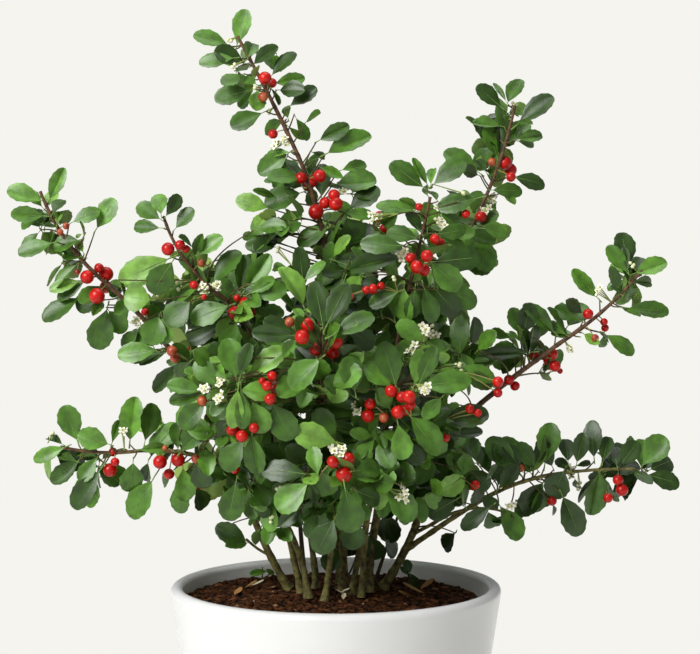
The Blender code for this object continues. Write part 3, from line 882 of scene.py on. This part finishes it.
allLimbPoints = [(point, name, i) for name, path in paths.items() for i, point in enumerate(path)]


carriers = [(point, name, i) for point, name, i in allLimbPoints[::3]
            if i >= growth["bareSteps"] or name == "bough_low_twig"]
limbPixels = [(*toPixel(point), point.y) for point, name, i in allLimbPoints[::2]]


def branchTo(target):
    # where the twig to a point leaves its limb, and in which direction
    def cost(carrier):
        offset = target - carrier[0]
        return offset.length + max(-offset.z, 0) * 1.6
    start, name, i = min(carriers, key=cost)
    return start, (alongAt(paths[name], i) + (target - start).normalized()).normalized()


def leafNormal(spot, direction):
    outward = spot - crownMiddle
    outward.z *= 0.4
    outward.normalize()
    facing = Vector((0, -1, 0)) if spot.y < 0.02 else Vector((0, 1, 0))
    normal = outward * 0.5 + facing * 0.55 + Vector((0, 0, 0.55)) + randomUnit() * 0.5
    normal -= direction * normal.dot(direction)
    return normal.normalized()


def crownHull():
    # the masses as one surface, to ask where the crown's front is
    points, faces = [], []
    for name in massNames:
        mesh = frame["nodes"][name].data
        faces += [[i + len(points) for i in p.vertices] for p in mesh.polygons]
        points += [v.co.copy() for v in mesh.vertices]
    return BVHTree.FromPolygons(points, faces)


hull = crownHull()


def frontDepth(x, y):
    # how far back the crown's front lies behind a pixel, or None in the open
    place = Vector(view["place"])
    hit = hull.ray_cast(place, (atPixel(x, y, 0) - place).normalized())[0]
    return hit.y if hit else None


def limbDepth(x, y):
    # depth of the limb that passes nearest to a pixel
    return min((math.hypot(limbX - x, limbY - y), depth) for limbX, limbY, depth in limbPixels)[1]


def growLeaf(spot, along, angle, lean, length, kind):
    # left out where it would hang in open sky or stand before the leaves that were read
    direction = (turned(along, angle) + along * lean).normalized()
    normal = leafNormal(spot, direction)
    pixels = [toPixel(spot + direction * length * t) for t in (0.35, 0.7, 1)]
    x, y = pixels[1]
    if y > growth["lowestPixel"] or any(inSky(*pixel) for pixel in pixels):
        return
    front = frontDepth(x, y)
    inBody = readBody["left"] < x < readBody["right"] and readBody["top"] < y < readBody["bottom"]
    if inBody and front is not None and spot.y < front + growth["behindFront"]:
        return
    leafMarks.append((spot, direction, normal, length, kind))


def bendTwig(start, startDirection, target):
    span = (target - start).length
    bend = start + startDirection * span * 0.45 + Vector((0, 0, -0.05 * span))
    count = max(4, round(span / (3 * mm)))
    path = [start.lerp(bend, t).lerp(bend.lerp(target, t), t) for t in (i / count for i in range(count + 1))]
    radii = [growth["twigRadius"] + (growth["tipRadius"] - growth["twigRadius"]) * i / count
             for i in range(count + 1)]
    twigTubes.append((path, radii))
    return path


def growTwig(start, startDirection, target):
    # leaves by turns along its end, and a rosette of them at its tip
    if inSky(*toPixel(target)):
        return
    path = bendTwig(start, startDirection, target)
    turn = rng.uniform(0, math.tau)
    travelled = 0.0
    total = sum((after - before).length for before, after in zip(path, path[1:]))
    nextLeaf = max(total - growth["leafyEnd"], total * 0.3)
    for before, after in zip(path, path[1:]):
        along = (after - before).normalized()
        skeleton.append(before)
        travelled += (after - before).length
        if travelled >= nextLeaf:
            nextLeaf += growth["leafGap"]
            turn += growth["leafTurn"]
            growLeaf(before, along, turn, rng.uniform(0.35, 0.8), rng.uniform(*growth["leafLength"]),
                     rng.random())
    twigTips.append((path[-1], along))
    for k in range(rng.choice((3, 4, 4, 5))):
        growLeaf(path[-1], along, turn + math.tau * k / 4.3, rng.uniform(0.4, 1.1),
                 rng.uniform(*growth["leafLength"]) * rng.uniform(0.7, 1.0), rng.random() + 0.35)


def growCrown():
    for name in massNames:
        count = max(3, round(massRoom(name) / growth["roomPerTwig"]))
        onArm = any(name.startswith(arm) for arm in armMasses)
        for target in massSamples(name, count):
            start, direction = branchTo(target)
            if onArm and (target.y < start.y + growth["behindArm"] or rng.random() < growth["armGaps"]):
                continue
            growTwig(start, direction, target)


def standLeaf(pixels, depth, carrier, kind, sprout=False):
    # one leaf read from the photo, on a thin bowed stalk from its carrier
    footX, footY, tipX, tipY, wide = pixels
    foot = atPixel(footX, footY, depth)
    apparent = math.hypot(tipX - footX, tipY - footY) * pixelSize
    length = apparent
    if apparent > standing["small"] and not sprout:
        length = max(length, rng.uniform(*standing["least"]))
    lean = math.sqrt(max(length * length - apparent * apparent, 0)) * rng.choice((-1, 1, 1))
    direction = (atPixel(tipX, tipY, depth + lean) - foot).normalized()
    spot = foot - direction * growth["petiole"]
    if (spot - carrier).length > 1.5 * mm:
        middle = carrier.lerp(spot, 0.5) + Vector((0, 0, -0.6 * mm))
        bow = [carrier, carrier.lerp(middle, 0.9), middle.lerp(spot, 0.5), spot]
        twigTubes.append((bow, standing["stalkRadii"]))
    normal = Vector((rng.gauss(0, 0.3), -1, rng.uniform(0.1, 0.7)))
    normal -= direction * normal.dot(direction)
    width = wide * pixelSize / (length * leaf["widthShare"]) * standing["grown"]
    seenMarks.append((spot, direction, normal.normalized(), length * standing["grown"], kind, width))


def growSeenLeaves():
    for name, leaves in seenLeaves.items():
        path = paths[name]
        pixels = [toPixel(point) for point in path]
        for leafPixels in leaves:
            footX, footY = leafPixels[:2]
            gaps = [math.hypot(x - footX, y - footY) for x, y in pixels]
            nearest = gaps.index(min(gaps))
            depth = path[nearest].y + rng.uniform(-4, 4) * mm
            away = (atPixel(footX, footY, depth) - path[nearest]).length
            carrier = path[max(nearest - round(away * 0.6 / limbStep), 0)]
            standLeaf(leafPixels, depth, carrier, rng.uniform(0.1, 0.9))


def growBodyLeaves():
    for layer, leaves in enumerate(bodyLeaves):
        hubs = []
        for leafPixels in leaves:
            footX, footY = leafPixels[:2]
            near = (h for h in hubs if math.hypot(h[0] - footX, h[1] - footY) < standing["hubReach"])
            hub = next(near, None)
            if hub is None:
                front = frontDepth(footX, footY)
                depth = limbDepth(footX, footY) if front is None else front + standing["behindHull"]
                tip = atPixel(footX, footY, depth + layer * standing["layerStep"])
                skeleton.extend(bendTwig(*branchTo(tip), tip))
                hub = (footX, footY, tip)
                hubs.append(hub)
            depth = hub[2].y + rng.uniform(-3, 3) * mm
            # painted shade: each deeper layer gets a darker leaf tone
            standLeaf(leafPixels, depth, hub[2], rng.uniform(0.15, 0.9) - layer * 0.25)


# Thin shoots between the stems, each as four pixels up from the soil, and its radius
thinShoots = (
    (((307, 599), (304, 572), (301, 542), (299, 505)), 1.9 * mm),
    (((318, 580), (316, 560), (310, 540), (306, 512)), 1.2 * mm),
    (((333, 590), (350, 580), (357, 562), (359, 535)), 0.7 * mm),
    (((347, 586), (346, 560), (343, 540), (337, 510)), 1.3 * mm),
    (((374, 586), (381, 562), (391, 535), (402, 505)), 1.3 * mm),
)
# Two sprouts on the soil: the foot, then the leaves, as pixels
soilSprouts = (
    ((262, 580), ((268, 571, 250, 574, 7), (266, 569, 274, 574, 5))),
    ((411, 590), ((410, 573, 406, 560, 9), (409, 573, 417, 588, 10), (409, 575, 401, 567, 5))),
)


def soilSpot(x, y):
    # the point of the soil that is seen at a pixel
    place = Vector(view["place"])
    ray = atPixel(x, y, 0) - place
    spot = place + ray * ((soilTop - 2 * mm - place.z) / ray.z)
    spot.z = soilHeight(spot.x, spot.y)
    return spot


def curvePoint(points, t):
    while len(points) > 1:
        points = [a.lerp(b, t) for a, b in zip(points, points[1:])]
    return points[0]


def growShoots():
    steps = 20
    for pixels, radius in thinShoots:
        foot = soilSpot(*pixels[0])
        corners = [foot - Vector((0, 0, 1 * mm))] + [atPixel(x, y, foot.y) for x, y in pixels[1:]]
        path = [curvePoint(corners, i / steps) for i in range(steps + 1)]
        twigTubes.append((path, [radius * (1 - 0.35 * i / steps) for i in range(steps + 1)]))
    for footPixel, leaves in soilSprouts:
        foot = soilSpot(*footPixel)
        for leafPixels in leaves:
            standLeaf(leafPixels, foot.y, foot, 0.95, sprout=True)


growCrown()
growSeenLeaves()
growBodyLeaves()
growShoots()
print("crown grown:", len(twigTubes), "twigs,", len(leafMarks), "+", len(seenMarks), "leaves")


def makeTwigs():
    heap = Heap()
    for path, radii in twigTubes:
        points, faces = sweepTube(path, radii, 6)
        heap.add(points, faces, np.zeros(len(faces)))
    # young twig bark: thin, red-brown, slightly glossy
    bark = newMaterial("holly_twig_bark", "#4a3a20", Roughness=0.65, Specular_IOR_Level=0.3)
    mottle(bark, 8.0, "#3c2917", "#58592b", detail=3.0)
    piece = heap.piece("twigs", [bark])
    finishPiece(piece, "twigs", "bough_bark")


makeTwigs()


# Leaf: one blade modelled as a grid, with a paler underside on the same scalloped margin


def bladeHalfWidth(t, wide):
    sharpness = 0.84 - 0.4 * t
    return max(math.sin(math.pi * min(t, 1) ** wide), 0) ** sharpness / 2


def bladePiece(columns, wide, phase, curl, fold, under):
    # a flat grid of unit length, drawn to the leaf's outline
    deselectAll()
    bpy.ops.mesh.primitive_grid_add(x_subdivisions=leaf["rows"], y_subdivisions=columns, size=2)
    blade = bpy.context.object
    for vert in blade.data.vertices:
        row = round((vert.co.x + 1) / 2 * leaf["rows"])
        v = vert.co.y
        t = math.sin(math.pi / 2 * row / leaf["rows"]) ** 1.12
        half = bladeHalfWidth(t, wide)
        notch = leaf["scallop"] * (1 if (row + phase) % 2 else -1) if 0.3 < t < 0.995 else 0
        y = v * half * leaf["widthShare"] * (1 + notch * (abs(v) > 0.9))
        lift = leaf["dome"] * half * leaf["widthShare"] * 2 * (abs(v) - v * v * 1.1)
        lift += fold * half * abs(v) * leaf["widthShare"] / 2
        if under and abs(v) < 0.9:
            lift -= leaf["thickness"] / (21 * mm) * (1 if half > 0.05 else 0)
        vert.co = Vector((t, y, lift * 2 - curl * t * t))
    return blade


def leafShape(wide, phase, curl, fold):
    top = bladePiece(4, wide, phase, curl, fold, False)
    below = bladePiece(2, wide, phase, curl, fold, True)
    bpy.ops.object.mode_set(mode="EDIT")
    bpy.ops.mesh.select_all(action="SELECT")
    bpy.ops.mesh.flip_normals()
    bpy.ops.object.mode_set(mode="OBJECT")
    deselectAll()
    below.select_set(True)
    top.select_set(True)
    bpy.context.view_layer.objects.active = top
    bpy.ops.object.join()
    bpy.ops.object.mode_set(mode="EDIT")
    bpy.ops.mesh.select_all(action="SELECT")
    bpy.ops.mesh.remove_doubles(threshold=1e-5)
    bpy.ops.object.mode_set(mode="OBJECT")
    slots = np.array([0 if p.normal.z > 0 else 1 for p in top.data.polygons])
    return *takeArrays(top), slots


def ribShape():
    # the stalk and the midrib: a thin ridge from the twig along the blade
    path = [Vector((x, 0, 0)) for x in (-0.2, -0.1, 0.0, 0.2, 0.42, 0.62, 0.8)]
    radii = [0.019, 0.017, 0.013, 0.008, 0.006, 0.004, 0.002]
    return sweepTube(path, radii, 4)


leafShapes = [leafShape(1.3, 0, 0.02, 0.25), leafShape(1.15, 1, 0.05, 0.5), leafShape(1.42, 0, -0.03, 0.35),
              leafShape(1.22, 1, 0.09, 0.15)]
rib = ribShape()

leafTones = {
    "leaves_deep": ("#2a4411", "#506a30"),
    "leaves_dark": ("#395b17", "#5e7b36"),
    "leaves_mid": ("#487021", "#6e8c40"),
    "leaves_fresh": ("#57822a", "#7f9b4a"),
    "leaves_young": ("#6b9537", "#92ac58"),
}


def shade(hexText, factor):
    # the same colour, a little darker or lighter
    return "#" + "".join("%02x" % min(round(int(hexText[i:i + 2], 16) * factor), 255) for i in (1, 3, 5))


def placeLeaf(points, mark, bend, width):
    spot, direction, normal, length = mark[:4]
    across = normal.cross(direction)
    grown = points * np.array((length, length * width, length))
    grown[:, 2] -= bend * length * (points[:, 0] ** 2)
    petiole = direction * growth["petiole"]
    turn = np.array((direction, across, normal))
    return grown @ turn + np.array(tuple(spot + petiole))


def makeLeaves():
    toneRng = random.Random(3)
    heaps = {name: Heap() for name in leafTones}
    ribs = Heap()
    names = list(leafTones)
    for mark in leafMarks + seenMarks:
        kind = mark[4]
        spread = toneRng.gauss(0, 0.16)
        # painted shade: leaves take a deeper tone at the right, away from the key light, and low in the crown
        # where its shadow falls, most of all low at the right
        spot = mark[0]
        low = max(soilTop + 0.12 - spot.z, 0)
        paintedShade = spot.x * 0.7 + low * (2 + 25 * max(spot.x, 0))
        place = min(max(kind * 0.68 + spread + 0.09 - paintedShade, 0), 0.999)
        name = names[int(place * len(names))]
        points, faces, slots = toneRng.choice(leafShapes)
        bend = toneRng.uniform(-0.04, 0.16)
        width = mark[5] if len(mark) > 5 else toneRng.uniform(0.9, 1.12)
        heaps[name].add(placeLeaf(points, mark, bend, width), faces, slots)
        ribs.add(placeLeaf(rib[0], mark, bend, 1.0), rib[1], np.zeros(len(rib[1])))
    for i, name in enumerate(names):
        upper, lower = leafTones[name]
        # waxy evergreen blade: satin, with a soft white sheen over a green body
        top = newMaterial("holly_leaf_upper_" + name[7:], upper, Roughness=0.39, Specular_IOR_Level=0.46)
        mottle(top, 7.0, shade(upper, 0.86), shade(upper, 1.12), detail=2.0)
        addBump(top, 2.6, 0.12)
        under = newMaterial("holly_leaf_under_" + name[7:], lower, Roughness=0.6, Specular_IOR_Level=0.35)
        piece = heaps[name].piece(name, [top, under], smoothAngle=70)
        finishPiece(piece, name, "leaves", *massNames[i::len(names)])
    # midrib and stalk, paler than the blade
    ridge = newMaterial("holly_leaf_midrib", "#6f9044", Roughness=0.5)
    piece = ribs.piece("leaf_ribs", [ridge])
    finishPiece(piece, "leaf_ribs", "leaves")


makeLeaves()
print("leaves ready")


# Berries and blossom where the photo shows them: pixel and size in pixels, front ones first
seenBerries = {
    "ripe": (
        (265, 78, 6.5), (272, 83, 5), (273, 134, 5), (301, 178, 6), (311, 181, 7), (308, 186, 6),
        (320, 176, 6.5), (316, 212, 8), (325, 203, 6), (336, 204, 7), (334, 195, 6), (87, 277, 7),
        (99, 268, 5), (106, 274, 7.5), (106, 287, 6.5), (97, 296, 8), (168, 249, 6.5), (180, 245, 5),
        (186, 249, 4), (194, 285, 4.5), (204, 297, 3), (235, 313, 7), (247, 304, 8), (251, 313, 5),
        (237, 298, 3.5), (145, 312, 4), (505, 163, 7), (510, 170, 7), (511, 177, 5), (466, 214, 4.5),
        (481, 217, 6), (419, 207, 4), (435, 239, 5), (440, 243, 5), (417, 267, 6.5), (424, 270, 6),
        (411, 258, 5.5), (427, 256, 6), (588, 314, 5.5), (604, 322, 4), (605, 328, 4), (552, 354, 6),
        (547, 361, 4), (555, 366, 6), (560, 371, 3), (534, 356, 5.5), (498, 382, 5.5), (509, 380, 5.5),
        (515, 386, 5), (498, 393, 4.5), (470, 409, 4.5), (478, 413, 4), (618, 480, 5.5), (622, 490, 6.5),
        (608, 498, 5), (552, 501, 5), (113, 452, 4.5), (115, 462, 4.5), (110, 470, 7), (160, 462, 7),
        (178, 460, 7), (169, 474, 5.5), (191, 345, 7), (307, 325, 7), (302, 337, 7), (316, 349, 6.5),
        (327, 348, 5.5), (333, 352, 7), (336, 342, 6.5), (366, 290, 4), (373, 289, 5), (381, 286, 4),
        (275, 388, 8), (267, 386, 5), (272, 376, 5), (270, 399, 5.5), (262, 381, 3.5), (391, 391, 6),
        (370, 404, 5.5), (368, 416, 6.5), (398, 412, 6.5), (406, 410, 6), (409, 397, 6.5), (402, 397, 5.5),
        (411, 405, 4.5), (344, 474, 8), (333, 462, 6), (348, 459, 6.5), (242, 436, 6), (232, 430, 5.5),
        (237, 430, 6), (254, 428, 5), (235, 469, 5), (427, 468, 5), (389, 471, 5), (387, 480, 4),
        (475, 485, 5), (446, 438, 4),
    ),
    "turning": (
        (263, 97, 5), (492, 162, 4.5), (172, 351, 5.5), (175, 358, 5), (290, 322, 5), (201, 263, 4),
        (202, 401, 5), (384, 418, 5), (350, 296, 4), (196, 459, 4.5), (165, 448, 3), (60, 232, 3.5),
        (66, 226, 3.5), (77, 272, 3), (521, 468, 4), (595, 338, 4),
    ),
}
seenBlossom = {
    "open": (
        (276, 143, 5), (285, 143, 5), (203, 290, 5), (216, 286, 5), (137, 322, 5), (491, 199, 6),
        (484, 210, 5), (441, 219, 10), (404, 253, 5), (340, 450, 9), (357, 412, 5), (427, 330, 5),
        (434, 336, 5), (413, 347, 6), (457, 358, 5), (425, 390, 6), (206, 388, 5), (219, 399, 5),
        (221, 380, 4), (404, 497, 6), (375, 218, 5), (343, 193, 4), (570, 471, 5), (511, 506, 4),
        (124, 430, 4), (600, 290, 4), (570, 350, 4), (401, 485, 3),
    ),
    "bud": (
        (180, 285, 6), (157, 293, 6), (464, 192, 4), (514, 105, 3), (633, 265, 4), (578, 486, 4),
        (52, 434, 4), (230, 40, 3), (233, 65, 3), (255, 88, 3), (268, 87, 3), (269, 111, 3), (434, 327, 4),
        (461, 366, 5), (270, 520, 4), (278, 488, 4), (279, 250, 4), (393, 277, 4), (505, 483, 5),
    ),
}
skeleton += [point for path in paths.values() for point in path[30:]]
skeletonPoints = np.array([tuple(point) for point in skeleton])


def nearestWood(spot):
    gaps = np.linalg.norm(skeletonPoints - np.array(tuple(spot)), axis=1)
    return Vector(skeletonPoints[int(gaps.argmin())])


bladeMiddles = [spot + direction * length * 0.6 for spot, direction, normal, length, kind, width in seenMarks]
bladePlaces = [(*toPixel(middle), middle.y) for middle in bladeMiddles]
nearPixels = 13
rearFrom = 25 * mm
rearTips = [tip for tip in twigTips if tip[0].y > rearFrom]


def showingPlace(x, y, proud):
    # just before the read leaves round a pixel, or before the nearest of them
    gaps = [(math.hypot(leafX - x, leafY - y), depth) for leafX, leafY, depth in bladePlaces]
    near = [depth for gap, depth in gaps if gap < nearPixels] or [min(gaps)[1]]
    return atPixel(x, y, min(near) - proud)


def berryShape():
    deselectAll()
    bpy.ops.mesh.primitive_uv_sphere_add(segments=14, ring_count=9, radius=1)
    points, faces = takeArrays(bpy.context.object)
    return points * np.array((1, 1, 0.96)), faces


def makeBerries():
    fruitRng = random.Random(8)
    ball, ballFaces = berryShape()
    heap, stalks = Heap(), Heap()
    fruits = []
    for kind, berries in seenBerries.items():
        for x, y, size in berries:
            radius = size * pixelSize
            spot = showingPlace(x, y, 4 * mm)
            # neighbours touch, and one that would run into another stands behind it
            while any((spot - other).length < (radius + reach) * 0.96 for other, reach, _ in fruits):
                spot = atPixel(x, y, spot.y + 0.8 * mm)
            fruits.append((spot, radius, kind))
    # behind, where the photo doesn't reach: small clusters at twig tips
    for point, along in fruitRng.sample(rearTips, min(34, len(rearTips))):
        for k in range(fruitRng.choice((1, 2, 3, 4, 5))):
            radius = fruitRng.uniform(3.4, 4.3) * mm
            for attempt in range(30):
                offset = Vector((fruitRng.gauss(0, 1), fruitRng.gauss(0, 1), fruitRng.gauss(0, 1))) * 4.2 * mm
                spot = point + along * 3 * mm + offset
                if all((spot - other).length > radius + reach for other, reach, _ in fruits[-30:]):
                    fruits.append((spot, radius, "ripe"))
                    break
    for spot, radius, kind in fruits:
        carrier = nearestWood(spot)
        away = (spot - carrier).normalized()
        turn = np.array(away.to_track_quat("-Z", "Y").to_matrix().transposed())
        slots = np.full(len(ballFaces), list(seenBerries).index(kind))
        heap.add(ball * radius @ turn + np.array(tuple(spot)), ballFaces, slots)
        path = [carrier, carrier.lerp(spot, 0.5) + Vector((0, 0, 0.6 * mm)), spot]
        points, faces = sweepTube(path, [0.42 * mm, 0.36 * mm, 0.4 * mm], 5)
        stalks.add(points, faces, np.zeros(len(faces)))
    # ripe drupe: taut waxy skin, clear deep red with one soft light on it
    skin = newMaterial("holly_berry_skin", "#b0100a", Roughness=0.32, Specular_IOR_Level=0.34,
                       Coat_Weight=0.08, Coat_Roughness=0.18)
    mottle(skin, 5.0, "#a40a05", "#c4160a", detail=1.0)
    turning = newMaterial("holly_berry_turning", "#a03c1c", Roughness=0.42)
    mottle(turning, 4.0, "#8c2a15", "#b05a30", detail=1.0)
    finishPiece(heap.piece("berries", [skin, turning]), "berries", "leaves")
    stalk = newMaterial("berry_stalk_green", "#7f7a3c", Roughness=0.6)
    finishPiece(stalks.piece("berry_stalks", [stalk]), "berry_stalks", "bough_bark")


def petalShape():
    deselectAll()
    bpy.ops.mesh.primitive_grid_add(x_subdivisions=3, y_subdivisions=2, size=2)
    petal = bpy.context.object
    for vert in petal.data.vertices:
        t = (vert.co.x + 1) / 2
        half = 0.36 * math.sin(math.pi * (0.12 + 0.76 * t)) ** 0.7
        vert.co = Vector((t, vert.co.y * half, 0.25 * t * t + 0.12 * vert.co.y ** 2))
    bpy.context.view_layer.objects.active = petal
    shell = petal.modifiers.new("thickness", "SOLIDIFY")
    shell.thickness = 0.06
    bpy.ops.object.modifier_apply(modifier=shell.name)
    return takeArrays(petal)


def makeBlossom():
    bloomRng = random.Random(21)
    petal, petalFaces = petalShape()
    ball, ballFaces = berryShape()
    heap = Heap()
    spots = [(showingPlace(x, y, 3 * mm), size, kind) for kind, flowers in seenBlossom.items()
             for x, y, size in flowers]
    for point, along in bloomRng.sample(rearTips, min(20, len(rearTips))):
        spots.append((point + along * 4 * mm, 5, bloomRng.choice(("open", "bud"))))
    for middle, size, kind in spots:
        carrier = nearestWood(middle)
        ahead = -12 * mm if middle.y < rearFrom else 12 * mm
        opening = Vector((middle.x - carrier.x, ahead, 6 * mm)).normalized()
        for k in range(max(3, round(size * (1.1 if kind == "open" else 0.8)))):
            offset = Vector((bloomRng.gauss(0, 1), bloomRng.gauss(0, 0.5), bloomRng.gauss(0, 1)))
            spot = middle + offset * size * 0.42 * pixelSize
            facing = (opening + randomUnit() * 0.6).normalized()
            points, faces = sweepTube([carrier, carrier.lerp(spot, 0.6), spot], [0.3 * mm] * 3, 4)
            heap.add(points, faces, np.full(len(faces), 2))
            if kind == "open" and k % 4 < 3:
                for quarter in range(4):
                    outward = turned(facing, math.tau * quarter / 4 + k)
                    turn = np.array((outward, facing.cross(outward), facing))
                    heap.add(petal * 2.5 * mm @ turn + np.array(tuple(spot)), petalFaces,
                             np.zeros(len(petalFaces)))
                heap.add(ball * 0.8 * mm + np.array(tuple(spot + facing * 0.4 * mm)), ballFaces,
                         np.ones(len(ballFaces)))
            else:
                heap.add(ball * 1.2 * mm + np.array(tuple(spot)), ballFaces, np.full(len(ballFaces), 3))
    # petals thin and cream white, round a green ovary
    white = newMaterial("holly_petal", "#f4f0df", Roughness=0.6)
    green = newMaterial("flower_ovary", "#a9b55e", Roughness=0.5)
    stalk = newMaterial("flower_stalk", "#8b9a4c", Roughness=0.6)
    bud = newMaterial("flower_bud", "#dcdfae", Roughness=0.55)
    finishPiece(heap.piece("blossom", [white, green, stalk, bud]), "blossom", "leaves")


# What lies on the soil: pixel, length and heading in degrees
soilLitter = {
    "dry_leaf": ((425, 597, 15 * mm, 170), (413, 601, 10 * mm, 200), (244, 590, 9 * mm, 15),
                 (234, 597, 9 * mm, 60), (420, 594, 12 * mm, 40)),
    "fallen_petal": ((346, 598, 7 * mm, 180), (340, 598, 7 * mm, 10), (343, 602, 6 * mm, 80),
                     (251, 588, 9 * mm, 20), (302, 596, 4 * mm, 0)),
}


def makeLitter():
    heap = Heap()
    for slot, pieces in enumerate(soilLitter.values()):
        for i, (x, y, length, heading) in enumerate(pieces):
            spot = soilSpot(x, y) + Vector((0, 0, 2.2 * mm))
            angle = math.radians(heading)
            direction = Vector((math.cos(angle), math.sin(angle), 0.1)).normalized()
            normal = direction.cross(Vector((-math.sin(angle), math.cos(angle), 0)))
            points, faces, _ = leafShapes[i % len(leafShapes)]
            mark = (spot - direction * growth["petiole"], direction, normal, length)
            heap.add(placeLeaf(points, mark, -0.35, 0.8), faces, np.full(len(faces), slot))
    # dead leaf and dropped petals: papery, matt
    dry = newMaterial("dry_holly_leaf", "#9a713c", Roughness=0.85)
    petal = newMaterial("fallen_petal", "#ece3bd", Roughness=0.8)
    finishPiece(heap.piece("soil_litter", [dry, petal]), "soil_litter", "potting_soil")


makeBerries()
makeBlossom()
makeLitter()
print("berries and blossom ready")
